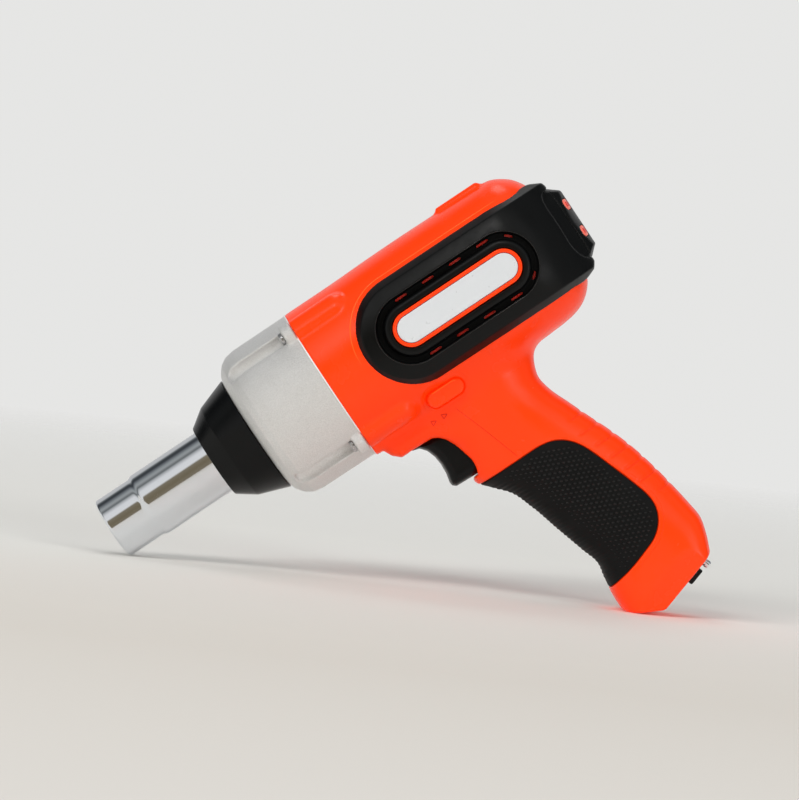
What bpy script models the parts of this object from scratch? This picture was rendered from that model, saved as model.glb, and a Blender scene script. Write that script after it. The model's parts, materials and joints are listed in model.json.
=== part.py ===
"""Electric impact wrench with a double-ended socket, resting on the socket's rim and the heel of its handle.

While it is modelled, +X runs back along the drive axis from the socket's mouth, +Z points away from the handle,
and -Y is the tool's left side. Lengths in this file are millimetres, and MM turns them into metres. At the end,
one empty tilts and lifts the whole tool so that it rests on the plane Z = 0.
"""

import math

import bmesh
import bpy
from mathutils import Matrix, Vector

MM = 0.001
GAP = 0.3  # between pieces that sit against each other

# Stance: the angle between the drive axis and the surface the tool rests on
STAND_TILT = math.radians(39.9)

# Socket, hexagon across flats at both ends
SOCKET_LENGTH = 78.0
SOCKET_MOUTH_RADIUS = 15.5
SOCKET_BODY_RADIUS = 16.5
SOCKET_STEP = 19.5
SOCKET_MOUTH_HEX = 21.0
SOCKET_REAR_HEX = 23.0
SOCKET_WEB = (27.0, 50.0)
SOCKET_SIDES = 30
DRIVE_SQUARE = 12.7

# Nose, gear case and housing along the drive axis
NOSE_FRONT = 58.8
CASE_FRONT = 83.0
CASE_REAR = 125.2
CASE_RADIUS = 39.0
CASE_CAVITY_RADIUS = 32.0
FLANGE = 5.2
CASE_SCREW_ANGLE = math.radians(39)  # from the vertical plane
CASE_SCREW_CIRCLE = 38.4
BOSS_RADIUS = 6.1
HOUSING_FRONT = 125.5
WALL = 2.4
HALF_GAP = 0.15  # each half of the housing stops this far from the middle plane

# Side trim: stadiums that share the same two end centres
TRIM_Z = 0.8
TRIM_FRONT_CENTRE = 173.0
TRIM_RADIUS = 26.2
TRIM_FACE_RADIUS = 50.0  # the panel's outer face is a shallow arch across its height
TRIM_SEAT = 0.7  # how far the trim is let into the housing
CHANNEL_FLOOR = 34.8  # distance from the middle plane
ISLAND_TOP = 39.6
CUP_WALL = 1.6
OVAL_CENTRES = (172.2, 224.1)
CHANNEL_RADIUS = 16.4
ISLAND_RADIUS = 12.9
CARRIER_RADIUS = 8.7
LABEL_RADIUS = 6.6
VENT_PITCH = 15.2
VENT_SIZE = (7.0, 1.6)
TAIL_END = 262.0
TAIL_SLOT_HEIGHTS = (-5.8, 9.2)
TAIL_SLOT_Y = 10.5

# Gear train: module and tooth counts
MODULE = 1.1
SUN_TEETH = 9
PLANET_TEETH = 18
RING_TEETH = SUN_TEETH + 2 * PLANET_TEETH
PLANET_CIRCLE = MODULE * (SUN_TEETH + PLANET_TEETH) / 2
PLANETS = 3
GEAR_SPAN = (137.6, 147.0)

# Hammer drive
ANVIL_RADIUS = 9.0
HAMMER_RADIUS = 27.0
DOG_SPAN = (97.0, 104.0)
HAMMER_SPAN = (104.4, 121.0)
SPINDLE_RADIUS = 8.0
CARRIER_FLANGE = (133.5, 137.0)

# Motor
MOTOR_RADIUS = 26.0
MOTOR_SPAN = (155.0, 220.0)
SHAFT_RADIUS = 2.5

# Trigger and selector
TRIGGER_HALF_WIDTH = 10.5
TRIGGER_TRAVEL = 6.0
SELECTOR_CENTRE = (169.0, -33.4)
SELECTOR_HALF_LENGTH = 9.7
SELECTOR_RADIUS = 4.1
SELECTOR_HALF_SPAN = 26.5

# Handle end face: two points of its side view
END_FACE = ((198.7, -177.2), (231.9, -166.9))

# Housing screws, side-view places
HOUSING_SCREWS = {"front": (135.5, -42.5), "neck": (203.0, -47.5), "top": (243.0, 32.0), "heel": (204.0, -158.0)}

# Body sections: x, top, bottom, half width
BODY_SECTIONS = (
    (HOUSING_FRONT, 39.3, -39.0, 39.0),
    (150.0, 39.6, -39.0, 38.6),
    (180.0, 40.4, -39.0, 38.2),
    (215.0, 40.2, -38.6, 37.8),
    (236.0, 39.8, -37.5, 36.6),
    (246.0, 37.0, -35.0, 33.5),
    (252.0, 32.6, -30.6, 28.5),
    (255.8, 27.0, -25.8, 23.0),
)
# Trim sections: x, half width
TRIM_SECTIONS = (
    (140.0, 40.8), (225.0, 40.8), (238.0, 40.0), (246.0, 37.8), (252.0, 34.4), (257.0, 29.6), (TAIL_END, 22.0),
)

# Handle sections: z, front, back, half width, squareness exponent
HANDLE_SECTIONS = (
    (-30.0, 152.0, 214.0, 22.5, 2.4),
    (-44.0, 152.0, 212.4, 21.0, 2.4),
    (-52.0, 157.0, 210.2, 20.0, 2.5),
    (-60.0, 160.4, 211.6, 19.4, 2.5),
    (-70.0, 161.4, 215.6, 19.2, 2.6),
    (-78.5, 157.8, 219.0, 19.0, 2.6),
    (-83.0, 161.8, 220.9, 18.6, 2.5),
    (-90.0, 168.2, 223.9, 18.0, 2.4),
    (-102.0, 173.3, 228.3, 17.4, 2.3),
    (-117.0, 177.6, 232.3, 17.4, 2.3),
    (-132.0, 182.0, 235.2, 17.8, 2.4),
    (-142.0, 184.8, 236.8, 18.4, 2.6),
    (-150.0, 183.4, 237.6, 19.2, 3.0),
    (-158.0, 182.1, 235.6, 20.0, 3.6),
    (-168.0, 182.1, 231.6, 20.4, 4.0),
    (-182.0, 183.0, 226.0, 20.4, 4.0),
)
GRIP_THICKNESS = 1.8
GRIP_OUTLINE = (
    (150.0, -79.4), (192.0, -79.0), (199.0, -80.4), (204.6, -84.0), (208.8, -89.4), (211.8, -96.2),
    (219.3, -117.3), (222.2, -127.0), (222.4, -133.4), (219.6, -140.0), (213.6, -145.6), (196.5, -151.6),
    (182.6, -154.4), (172.0, -156.0),
)
GUARD_OUTLINE = (
    (118.0, -26.0), (118.0, -39.0), (129.0, -40.2), (131.0, -44.4), (134.6, -47.8),
    (152.0, -48.2), (160.0, -46.0), (160.0, -26.0),
)
TRIGGER_OUTLINE = (
    (140.6, -48.7), (144.0, -49.8), (146.6, -53.0), (148.3, -58.0), (148.4, -63.6), (147.4, -68.6), (146.9, -71.8),
    (148.6, -74.0), (159.0, -74.2), (165.0, -73.0), (167.0, -68.0), (167.0, -55.0), (163.0, -48.7),
)


# ---------------------------------------------------------------- materials


def make_material(name, color, roughness, metallic=0.0):
    material = bpy.data.materials.new(name)
    material.use_nodes = True
    shader = material.node_tree.nodes["Principled BSDF"]
    shader.inputs["Base Color"].default_value = (*color, 1.0)
    shader.inputs["Roughness"].default_value = roughness
    shader.inputs["Metallic"].default_value = metallic
    return material


def make_materials():
    return {
        "orange": make_material("orange_plastic", (0.95, 0.10, 0.015), 0.35),
        "black": make_material("black_plastic", (0.016, 0.017, 0.018), 0.38),
        "rubber": make_material("black_rubber", (0.014, 0.015, 0.016), 0.6),
        "casting": make_material("die_cast_aluminium", (0.62, 0.61, 0.59), 0.45, 0.9),
        "chrome": make_material("chrome", (0.80, 0.81, 0.83), 0.08, 1.0),
        "steel": make_material("steel", (0.45, 0.45, 0.46), 0.35, 1.0),
        "dark_steel": make_material("dark_steel", (0.14, 0.14, 0.15), 0.4, 1.0),
        "bronze": make_material("sintered_bronze", (0.50, 0.32, 0.14), 0.45, 1.0),
        "copper": make_material("copper", (0.72, 0.31, 0.16), 0.35, 1.0),
        "carbon": make_material("carbon", (0.03, 0.03, 0.03), 0.6),
        "magnet": make_material("ferrite_magnet", (0.07, 0.07, 0.075), 0.7),
        "label": make_material("label_film", (0.74, 0.77, 0.80), 0.3),
    }


# ---------------------------------------------------------------- mesh helpers


def finish(name, bm, material, at=(0.0, 0.0, 0.0)):
    """Turns a bmesh in millimetres, relative to the point at, into a named object in metres."""
    bmesh.ops.remove_doubles(bm, verts=bm.verts, dist=0.0005)
    bmesh.ops.recalc_face_normals(bm, faces=bm.faces)
    bmesh.ops.scale(bm, verts=bm.verts, vec=(MM, MM, MM))
    mesh = bpy.data.meshes.new(name)
    bm.to_mesh(mesh)
    bm.free()
    obj = bpy.data.objects.new(name, mesh)
    obj.location = Vector(at) * MM
    if material:
        mesh.materials.append(material)
    bpy.context.scene.collection.objects.link(obj)
    return obj


def combine(obj, other, operation):
    """Boolean of two objects, kept in obj; other is removed."""
    modifier = obj.modifiers.new(operation.lower(), "BOOLEAN")
    modifier.operation = operation
    modifier.object = other
    modifier.solver = "EXACT"
    bpy.context.view_layer.update()
    graph = bpy.context.evaluated_depsgraph_get()
    mesh = bpy.data.meshes.new_from_object(obj.evaluated_get(graph))
    obj.modifiers.clear()
    bm = bmesh.new()
    bm.from_mesh(mesh)
    bmesh.ops.triangulate(bm, faces=[face for face in bm.faces if len(face.verts) > 4])
    bm.to_mesh(mesh)
    bm.free()
    obj.data = mesh
    bpy.data.objects.remove(other)
    return obj


def cut(obj, other):
    return combine(obj, other, "DIFFERENCE")


def join(obj, other):
    return combine(obj, other, "UNION")


def keep_inside(obj, other):
    return combine(obj, other, "INTERSECT")


def arc(centre, radius, start, end, steps):
    """Points on a circle, from angle start to end in degrees, both included."""
    angles = [math.radians(start + (end - start) * k / steps) for k in range(steps + 1)]
    return [(centre[0] + radius * math.cos(a), centre[1] + radius * math.sin(a)) for a in angles]


def stadium(first, last, z, radius, steps=8):
    """Outline of a stadium between two end centres on the line at height z."""
    return arc((first, z), radius, 90, 270, steps) + arc((last, z), radius, -90, 90, steps)


def turned(name, profile, material, sides=32, at=(0.0, 0.0, 0.0)):
    """A closed outline of (x, radius) points swept round the X axis; a radius of 0 lies on the axis."""
    bm = bmesh.new()
    rings = []
    for x, radius in profile:
        if radius < 1e-6:
            rings.append([bm.verts.new((x, 0, 0))])
            continue
        angles = [2 * math.pi * (k + 0.5) / sides for k in range(sides)]
        rings.append([bm.verts.new((x, radius * math.sin(a), -radius * math.cos(a))) for a in angles])
    for ring, following in zip(rings, rings[1:] + rings[:1]):
        if len(ring) == 1 and len(following) == 1:
            continue
        for k in range(sides):
            corners = [ring[k % len(ring)], ring[(k + 1) % len(ring)]]
            corners += [following[(k + 1) % len(following)], following[k % len(following)]]
            bm.faces.new(list(dict.fromkeys(corners)))
    return finish(name, bm, material, at)


def tube(name, span, outer, inner, material, sides=24, at=(0.0, 0.0, 0.0)):
    return turned(name, [(span[0], inner), (span[0], outer), (span[1], outer), (span[1], inner)], material, sides, at)


def rod(name, span, radius, material, sides=16, at=(0.0, 0.0, 0.0)):
    profile = [(span[0], 0), (span[0], radius), (span[1], radius), (span[1], 0)]
    return turned(name, profile, material, sides, at)


def loft(name, rings, material=None):
    """A closed body through rings of points, with a flat cap at each end."""
    bm = bmesh.new()
    made = [[bm.verts.new(point) for point in ring] for ring in rings]
    count = len(made[0])
    for ring, following in zip(made, made[1:]):
        for k in range(count):
            bm.faces.new((ring[k], ring[(k + 1) % count], following[(k + 1) % count], following[k]))
    bm.faces.new(made[0])
    bm.faces.new(made[-1])
    return finish(name, bm, material)


def prism(name, outline, span, material=None, direction="Y"):
    """An outline extruded along Y, from (x, z) points, or along X, from (y, z) points."""
    place = {"Y": lambda p, s: (p[0], s, p[1]), "X": lambda p, s: (s, p[0], p[1])}[direction]
    return loft(name, [[place(point, s) for point in outline] for s in span], material)


def box(name, low, high, material=None):
    outline = ((low[0], low[2]), (high[0], low[2]), (high[0], high[2]), (low[0], high[2]))
    return prism(name, outline, (low[1], high[1]), material)


def cross_rod(name, centre, span, radius, material=None, sides=16):
    """A rod along Y at a side-view place."""
    return prism(name, arc(centre, radius, 0, 360 - 360 / sides, sides - 1), span, material)


def turn_about_x(obj, angle):
    obj.data.transform(Matrix.Rotation(angle, 4, "X"))
    return obj


def copy_of(obj, name):
    twin = bpy.data.objects.new(name, obj.data.copy())
    twin.location = obj.location
    bpy.context.scene.collection.objects.link(twin)
    return twin


def shade(obj):
    obj.data.shade_smooth()
    obj.data.set_sharp_from_angle(angle=math.radians(32))


# ---------------------------------------------------------------- lofted casing shapes


def superellipse(half_a, half_b, exponent, count):
    """Points (a, b) of a rounded rectangle, from the +a axis round."""
    points = []
    for k in range(count):
        angle = 2 * math.pi * (k + 0.5) / count
        c, s = math.cos(angle), math.sin(angle)
        points.append((
            half_a * math.copysign(abs(c) ** (2 / exponent), c),
            half_b * math.copysign(abs(s) ** (2 / exponent), s),
        ))
    return points


def body_loft(name, sections, grow, ends=(0.0, 0.0), count=32):
    """The barrel, grown outwards; ends lengthens it at the front and at the back."""
    rings = []
    for index, (x, top, bottom, half_width) in enumerate(sections):
        x += {0: -ends[0], len(sections) - 1: ends[1]}.get(index, 0.0)
        middle, half_height = (top + bottom) / 2, (top - bottom) / 2
        exponent = 2.0 if index == 0 else 2.2
        outline = superellipse(half_width + grow, half_height + grow, exponent, count)
        rings.append([(x, y, middle + z) for y, z in outline])
    return loft(name, rings)


def handle_loft(name, grow, count=24, sections=HANDLE_SECTIONS):
    rings = []
    for z, front, back, half_width, exponent in sections:
        middle, half_depth = (front + back) / 2, (back - front) / 2
        outline = superellipse(half_depth + grow, half_width + grow, exponent, count)
        rings.append([(middle + x, y, z) for x, y in outline])
    return loft(name, rings)


def ground_height(x):
    """Height of the resting plane in the tool's own axes."""
    facet = SOCKET_MOUTH_RADIUS * math.cos(math.pi / SOCKET_SIDES)
    return -facet - (x - 0.6) * math.tan(STAND_TILT)


def below_handle():
    """What lies below the handle's end face and below the plane the tool rests on."""
    (x0, z0), (x1, z1) = END_FACE
    slope = (z1 - z0) / (x1 - x0)
    heel = 160.0
    outline = (
        (heel, ground_height(heel)), (185.6, ground_height(185.6)), (x0, z0),
        (x1 + 20, z1 + 20 * slope), (x1 + 20, -220.0), (heel, -220.0),
    )
    return prism("below_handle", outline, (-40, 40))


# ---------------------------------------------------------------- housing


def outer_shape(grow=0.0):
    """The closed outside, run on past the housing's front; grow moves it outwards."""
    shape = body_loft("casing", BODY_SECTIONS, grow, ends=(9.0, grow))
    join(shape, handle_loft("handle", grow))
    join(shape, prism("guard", GUARD_OUTLINE, (-15.5 - grow, 15.5 + grow)))
    join(shape, prism("top_pad", ((210, 34), (213.5, 42), (236, 42), (241, 36)), (-9, 9)))
    return cut(shape, below_handle())


def inner_shape():
    sections = [s for s in BODY_SECTIONS if s[0] in (HOUSING_FRONT, 180.0, 236.0, 246.0)]
    shape = body_loft("casing_inside", sections, -WALL - 1.2, ends=(10.0, 3.0), count=24)
    inset = GRIP_THICKNESS + GAP + WALL
    rows = [s for s in HANDLE_SECTIONS if s[0] in (-30.0, -60.0, -78.5, -90.0, -117.0, -142.0, -158.0)]
    rows.append((-166.0, 182.1, 231.6, 20.4, 4.0))
    join(shape, handle_loft("handle_inside", -inset, count=16, sections=rows))
    return shape


def trim_region(name, grow, half_width=60.0):
    outline = arc((TRIM_FRONT_CENTRE, TRIM_Z), TRIM_RADIUS + grow, 90, 270, 12)
    outline += [(290.0, TRIM_Z - TRIM_RADIUS - grow), (290.0, TRIM_Z + TRIM_RADIUS + grow)]
    return prism(name, outline, (-half_width, half_width))


def screw_cutter(name, centre, radius, span, sides=10):
    return cross_rod(name, centre, span, radius, None, sides)


def make_housing(paint):
    shell = cut(outer_shape(), inner_shape())
    for side in (-1, 1):
        backing = CHANNEL_RADIUS + CUP_WALL + GAP
        join(shell, oval(backing + 1.4, side, CHANNEL_FLOOR - CUP_WALL - GAP - 1.6, 33.6))
        cut(shell, oval(backing, side, CHANNEL_FLOOR - CUP_WALL - GAP, 60))
    pocket = cut(trim_region("pocket", GAP), body_loft("pocket_floor", BODY_SECTIONS, -TRIM_SEAT - GAP, ends=(4.0, -1.4)))
    cut(shell, pocket)
    grip_pocket = cut(prism("grip_pocket", GRIP_OUTLINE, (-40, 40)), handle_loft("grip_floor", -GRIP_THICKNESS - GAP))
    cut(shell, grip_pocket)
    for angle in case_screw_angles():
        join(shell, screw_boss("boss", angle, (HOUSING_FRONT - 3, 148.0), 4.0))
    core = outer_shape(-1.0)
    for x, z in HOUSING_SCREWS.values():
        column = screw_cutter("column", (x, z), 4.4, (-30, 30), 12)
        join(shell, keep_inside(column, copy_of(core, "limit")))
    bpy.data.objects.remove(core)
    cut(shell, box("front_cut", (100, -60, -60), (HOUSING_FRONT, 60, 60)))
    trigger_slot = box("trigger_slot", (120, -TRIGGER_HALF_WIDTH - GAP, -74.6), (180, TRIGGER_HALF_WIDTH + GAP, -48.4))
    cut(shell, trigger_slot)
    cut(shell, selector_bar("selector_tunnel", GAP))
    for angle in case_screw_angles():
        cut(shell, case_screw_hole(angle, 1.9))
    cut(shell, inlet_block("inlet_hole", GAP))
    for side in (-1, 1):
        cut(shell, inlet_pin("inlet_pin_hole", side, GAP))
        for vent in vent_boxes(side, -0.4):
            cut(shell, vent)
        for z in TAIL_SLOT_HEIGHTS:
            cut(shell, rod("tail_vent", (244, 258), 1.1, None, 8, (0, side * TAIL_SLOT_Y, z)))
    for x, z in HOUSING_SCREWS.values():
        cut(shell, screw_cutter("shank_hole", (x, z), 1.8, (-11, 40)))
        cut(shell, screw_cutter("head_hole", (x, z), 3.4, (screw_head_seat((x, z)) - GAP, 40)))
    halves = []
    for name, low, high in (("housing_left", -60.0, -HALF_GAP), ("housing_right", HALF_GAP, 60.0)):
        half = copy_of(shell, name)
        keep_inside(half, box("half", (100, low, -230), (300, high, 60)))
        half.data.materials.clear()
        half.data.materials.append(paint["orange"])
        halves.append(half)
    bpy.data.objects.remove(shell)
    return halves


def trim_face(name, side):
    """The panel's outside: an arch across its height that closes in towards the back."""
    rings = []
    for x, half_width in TRIM_SECTIONS:
        arch = arc((half_width - TRIM_FACE_RADIUS, TRIM_Z), TRIM_FACE_RADIUS, -36, 36, 8)
        outline = [(HALF_GAP, arch[0][1]), *arch, (HALF_GAP, arch[-1][1])]
        rings.append([(x, side * y, z) for y, z in outline])
    return loft(name, rings)


def oval(radius, side, near, far, steps=8):
    """A stadium block on the panel's two end centres, between two distances from the middle plane."""
    return prism("oval", stadium(*OVAL_CENTRES, TRIM_Z, radius, steps), side_span(side, near, far))


def make_side_trims(paint):
    for side, name in ((-1, "side_trim_left"), (1, "side_trim_right")):
        trim = keep_inside(trim_region(name, 0.0), trim_face("face", side))
        cut(trim, body_loft("trim_seat", BODY_SECTIONS, -TRIM_SEAT, ends=(4.0, GAP)))
        cut(trim, tail_block("tail_hole", GAP, reach=4.0))
        join(trim, oval(CHANNEL_RADIUS + CUP_WALL, side, CHANNEL_FLOOR - CUP_WALL, 37.4))
        channel = cut(oval(CHANNEL_RADIUS, side, CHANNEL_FLOOR, 60), oval(ISLAND_RADIUS, side, 30, 61))
        cut(trim, channel)
        cut(trim, oval(ISLAND_RADIUS + 1.0, side, ISLAND_TOP, 60))
        cut(trim, oval(CARRIER_RADIUS + GAP, side, 38.0, 60, 6))
        for vent in vent_boxes(side, 0.0):
            cut(trim, vent)
        trim.data.materials.clear()
        trim.data.materials.append(paint["black"])


def side_span(side, near, far):
    return sorted((side * near, side * far))


def vent_boxes(side, grow):
    """Slots through the channel's floor, along its outer edges."""
    length, height = VENT_SIZE
    for k in range(4):
        x = OVAL_CENTRES[0] + 3.6 + VENT_PITCH * k
        for edge in (-1, 1):
            z = TRIM_Z + edge * (CHANNEL_RADIUS - height / 2 - 0.6)
            low, high = side_span(side, 20, 60)
            yield box(
                "vent",
                (x - length / 2 - grow, low, z - height / 2 - grow),
                (x + length / 2 + grow, high, z + height / 2 + grow),
            )


def make_labels(paint):
    for side, hand in ((-1, "left"), (1, "right")):
        outline = stadium(*OVAL_CENTRES, TRIM_Z, CARRIER_RADIUS, 6)
        carrier = prism(f"label_carrier_{hand}", outline, side_span(side, 38.0 + GAP, 40.4), paint["orange"])
        cut(carrier, oval(LABEL_RADIUS + GAP, side, 39.4, 45, 6))
        outline = stadium(*OVAL_CENTRES, TRIM_Z, LABEL_RADIUS, 6)
        prism(f"label_plate_{hand}", outline, side_span(side, 39.4 + GAP, 40.4), paint["label"])


def tail_block(name, grow, reach=0.0):
    """The tapered block at the back, domed across its end."""
    rings = []
    for x, top, bottom, half_width in ((256.3 - reach, 21.5, -18.5, 17.5), (TAIL_END, 21.0, -18.0, 17.0)):
        rings.append([(x, -half_width - grow, bottom - grow), (x, half_width + grow, bottom - grow),
                      (x, half_width + grow, top + grow), (x, -half_width - grow, top + grow)])
    return loft(name, rings)


def make_tail_cap(paint):
    root = tail_block("tail_cap", 0.0)
    arcs = arc((232.0, 0.0), 36.0, -27, 27, 6)
    dome = []
    for z, shrink in ((-18.0, 0.0), (21.0, 0.0)):
        dome.append([(256.3, -17.0, z), *[(x, y, z) for x, y in arcs], (256.3, 17.0, z)])
    dome = loft("dome", dome)
    wedge = prism("taper", ((250, -18.0), (261.6, -18.0), (270, -11.0), (270, 14.0), (261.6, 21.0), (250, 21.0)), (-30, 30))
    keep_inside(dome, wedge)
    cap = join(root, dome)
    for z in TAIL_SLOT_HEIGHTS:
        for y in (-TAIL_SLOT_Y, TAIL_SLOT_Y):
            cut(cap, box("slot", (250, y - 1.6, z - 3.2), (280, y + 1.6, z + 3.2)))
    cap.data.materials.clear()
    cap.data.materials.append(paint["black"])
    return cap


def make_grip(paint):
    grip = keep_inside(prism("grip", GRIP_OUTLINE, (-40, 40)), handle_loft("grip_outside", 0.0))
    cut(grip, handle_loft("grip_core", -GRIP_THICKNESS))
    grip.data.materials.clear()
    grip.data.materials.append(paint["rubber"])
    return grip


def screw_head_seat(centre):
    """The Y of the shoulder under a housing screw's head, on the right side."""
    return {"front": 9.0, "neck": 13.0, "top": 9.5, "heel": 13.5}[
        next(name for name, place in HOUSING_SCREWS.items() if place == centre)
    ]


def make_housing_screws(paint):
    for place, (x, z) in HOUSING_SCREWS.items():
        seat = screw_head_seat((x, z))
        screw = turned(
            f"housing_screw_{place}",
            [(-9, 0), (-9, 1.4), (seat, 1.4), (seat, 3.0), (seat + 1.8, 3.0), (seat + 2.4, 2.0), (seat + 2.4, 0)],
            paint["dark_steel"], 10,
        )
        screw.data.transform(Matrix.Rotation(math.pi / 2, 4, "Z"))
        screw.location = Vector((x, 0, z)) * MM


# ---------------------------------------------------------------- gear case, nose, socket


def case_screw_angles():
    """Angles about X of the four case screws, from the -Z direction of a turned piece."""
    return [CASE_SCREW_ANGLE, -CASE_SCREW_ANGLE, math.pi - CASE_SCREW_ANGLE, math.pi + CASE_SCREW_ANGLE]


def around_axis(radius, angle):
    return (0.0, radius * math.sin(angle), -radius * math.cos(angle))


def screw_boss(name, angle, span, nose=0.0):
    """A round boss on a case screw's axis, tapered over its last part."""
    profile = [(span[0], 0), (span[0], BOSS_RADIUS), (span[1], BOSS_RADIUS)]
    if nose:
        profile += [(span[1] + 0.6 * nose, 0.8 * BOSS_RADIUS), (span[1] + nose, 0.4 * BOSS_RADIUS)]
    end = profile[-1][0]
    return turned(name, [*profile, (end, 0)], None, 12, around_axis(CASE_SCREW_CIRCLE, angle))


def case_screw_hole(angle, radius):
    return rod("case_screw_hole", (112, 143.0), radius, None, 10, around_axis(CASE_SCREW_CIRCLE, angle))


def make_gear_case(paint):
    front_edge = [(CASE_FRONT + 8.5 - x, CASE_RADIUS - 8.5 + z) for x, z in arc((0, 0), 8.5, 0, 90, 4)]
    profile = [
        (66.0, 18.2), (66.0, 21.0), (CASE_FRONT, 21.0), *front_edge, (CASE_REAR, CASE_RADIUS),
        (CASE_REAR, CASE_CAVITY_RADIUS), (92.0, CASE_CAVITY_RADIUS), (89.0, 29.0), (89.0, 12.3), (79.0, 12.3), (79.0, 18.2),
    ]
    case = turned("gear_case", profile, paint["casting"], 36)
    for angle in case_screw_angles():
        cut(case, rod("groove", (87.0, CASE_REAR - FLANGE), 4.2, None, 12, around_axis(CASE_SCREW_CIRCLE, angle)))
        join(case, screw_boss("ear", angle, (CASE_REAR - FLANGE, CASE_REAR)))
        cut(case, case_screw_hole(angle, 2.0))
    return case


def make_case_screws(paint):
    seat = CASE_REAR - FLANGE - GAP
    for number, angle in enumerate(case_screw_angles(), 1):
        profile = [(seat - 2.6, 0), (seat - 2.6, 2.2), (seat - 2.0, 2.8), (seat, 2.8), (seat, 1.6), (141.0, 1.6), (142.0, 0.8), (142.0, 0)]
        turned(f"case_screw_{number}", profile, paint["steel"], 10, around_axis(CASE_SCREW_CIRCLE, angle))


def make_nose(paint):
    profile = [
        (NOSE_FRONT, 17.2), (NOSE_FRONT, 18.0), (NOSE_FRONT + 0.8, 19.0), (67.4, 24.9), (CASE_FRONT - GAP, 30.2),
        (CASE_FRONT - GAP, 21.0 + GAP), (66.0 - GAP, 21.0 + GAP), (66.0 - GAP, 17.2),
    ]
    return turned("nose_ring", profile, paint["black"], 32)


def hexagon(across_flats):
    radius = across_flats / math.sqrt(3)
    return arc((0, 0), radius, 0, 300, 5)


def make_socket(paint):
    chamfer = 0.6
    profile = [
        (0, 0), (0, SOCKET_MOUTH_RADIUS - chamfer), (chamfer, SOCKET_MOUTH_RADIUS), (SOCKET_STEP, SOCKET_MOUTH_RADIUS),
        (SOCKET_STEP + 1.6, SOCKET_BODY_RADIUS), (SOCKET_LENGTH - chamfer, SOCKET_BODY_RADIUS),
        (SOCKET_LENGTH, SOCKET_BODY_RADIUS - chamfer), (SOCKET_LENGTH, 0),
    ]
    socket = turned("socket", profile, paint["chrome"], SOCKET_SIDES)
    cut(socket, prism("mouth", hexagon(SOCKET_MOUTH_HEX), (-5, SOCKET_WEB[0]), None, "X"))
    cut(socket, prism("rear", hexagon(SOCKET_REAR_HEX), (SOCKET_WEB[1], SOCKET_LENGTH + 5), None, "X"))
    half = DRIVE_SQUARE / 2 + 0.1
    cut(socket, box("square", (20, -half, -half), (60, half, half)))
    return socket


# ---------------------------------------------------------------- hammer drive


def sector(name, inner, outer, span, middle, half_angle, material, steps=3):
    """A block between two radii, centred on an angle about X, in degrees."""
    outline = arc((0, 0), outer, middle - half_angle, middle + half_angle, steps)
    outline += arc((0, 0), inner, middle + half_angle, middle - half_angle, steps)
    return prism(name, outline, span, material, "X")


def make_anvil(paint):
    half = DRIVE_SQUARE / 2 - 0.15
    anvil = turned(
        "anvil",
        [(52.0, 0), (52.0, 8.0), (53.0, ANVIL_RADIUS), (DOG_SPAN[0], ANVIL_RADIUS), (DOG_SPAN[0], 13.0), (DOG_SPAN[1], 13.0), (DOG_SPAN[1], 0)],
        paint["dark_steel"], 24,
    )
    join(anvil, box("drive_square", (30.0, -half, -half), (54.0, half, half)))
    for middle in (0, 180):
        join(anvil, sector("dog", 10.0, 23.0, DOG_SPAN, middle, 16, None))
    cut(anvil, rod("pilot_bore", (94.0, 110.0), 5.2, None, 16))
    return anvil


def make_hammer(paint):
    hammer = turned(
        "hammer",
        [
            (HAMMER_SPAN[0], SPINDLE_RADIUS + GAP), (HAMMER_SPAN[0], HAMMER_RADIUS), (HAMMER_SPAN[1], HAMMER_RADIUS),
            (HAMMER_SPAN[1], 21.0), (111.0, 21.0), (111.0, 12.5), (HAMMER_SPAN[1] - 1.0, 12.5),
            (HAMMER_SPAN[1] - 1.0, SPINDLE_RADIUS + GAP),
        ],
        paint["dark_steel"], 28,
    )
    for middle in (90, 270):
        join(hammer, sector("dog", 14.0, HAMMER_RADIUS - 0.5, (97.4, HAMMER_SPAN[0] + 1.0), middle, 16, None))
    return hammer


def make_spindle(paint):
    spindle = turned(
        "spindle",
        [
            (95.0, 0), (95.0, 4.4), (96.0, 4.9), (104.3, 4.9), (104.3, SPINDLE_RADIUS), (CARRIER_FLANGE[0], SPINDLE_RADIUS),
            (CARRIER_FLANGE[0], 22.0), (CARRIER_FLANGE[1], 22.0), (CARRIER_FLANGE[1], 0),
        ],
        paint["steel"], 24,
    )
    for number in range(PLANETS):
        y, z = planet_place(number)
        cut(spindle, rod("pin_hole", (130, 140), 2.8 + 0.05, None, 12, (0, y, z)))
    return spindle


def coil(name, span, radius, wire, turns, material, per_turn=10, sides=5):
    """A compression spring along X with its wire as one swept tube."""
    steps = int(turns * per_turn)
    rings = []
    for k in range(steps + 1):
        angle = 2 * math.pi * k / per_turn
        x = span[0] + wire + (span[1] - span[0] - 2 * wire) * k / steps
        out = Vector((0, math.cos(angle), math.sin(angle)))
        along = Vector((1, 0, 0))
        ring = []
        for j in range(sides):
            a = 2 * math.pi * j / sides
            ring.append(Vector((x, 0, 0)) + out * (radius + wire * math.cos(a)) + along * wire * math.sin(a))
        rings.append(ring)
    return loft(name, rings, material)


def planet_place(number):
    angle = 2 * math.pi * number / PLANETS
    return PLANET_CIRCLE * math.cos(angle), PLANET_CIRCLE * math.sin(angle)


def tooth_outline(teeth, tip, root, half_tooth, phase):
    """Straight-sided teeth: radii past and short of the pitch circle, half a tooth's width there, first tooth's angle."""
    pitch = MODULE * teeth / 2
    lean = math.tan(math.radians(20))
    points = []
    for k in range(teeth):
        centre = phase + 2 * math.pi * k / teeth
        for offset, side in ((-root, -1), (tip, -1), (tip, 1), (-root, 1)):
            radius = pitch + offset
            angle = centre + side * max(half_tooth - offset * lean, 0.12) / radius
            points.append((radius * math.cos(angle), radius * math.sin(angle)))
    return points


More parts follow.
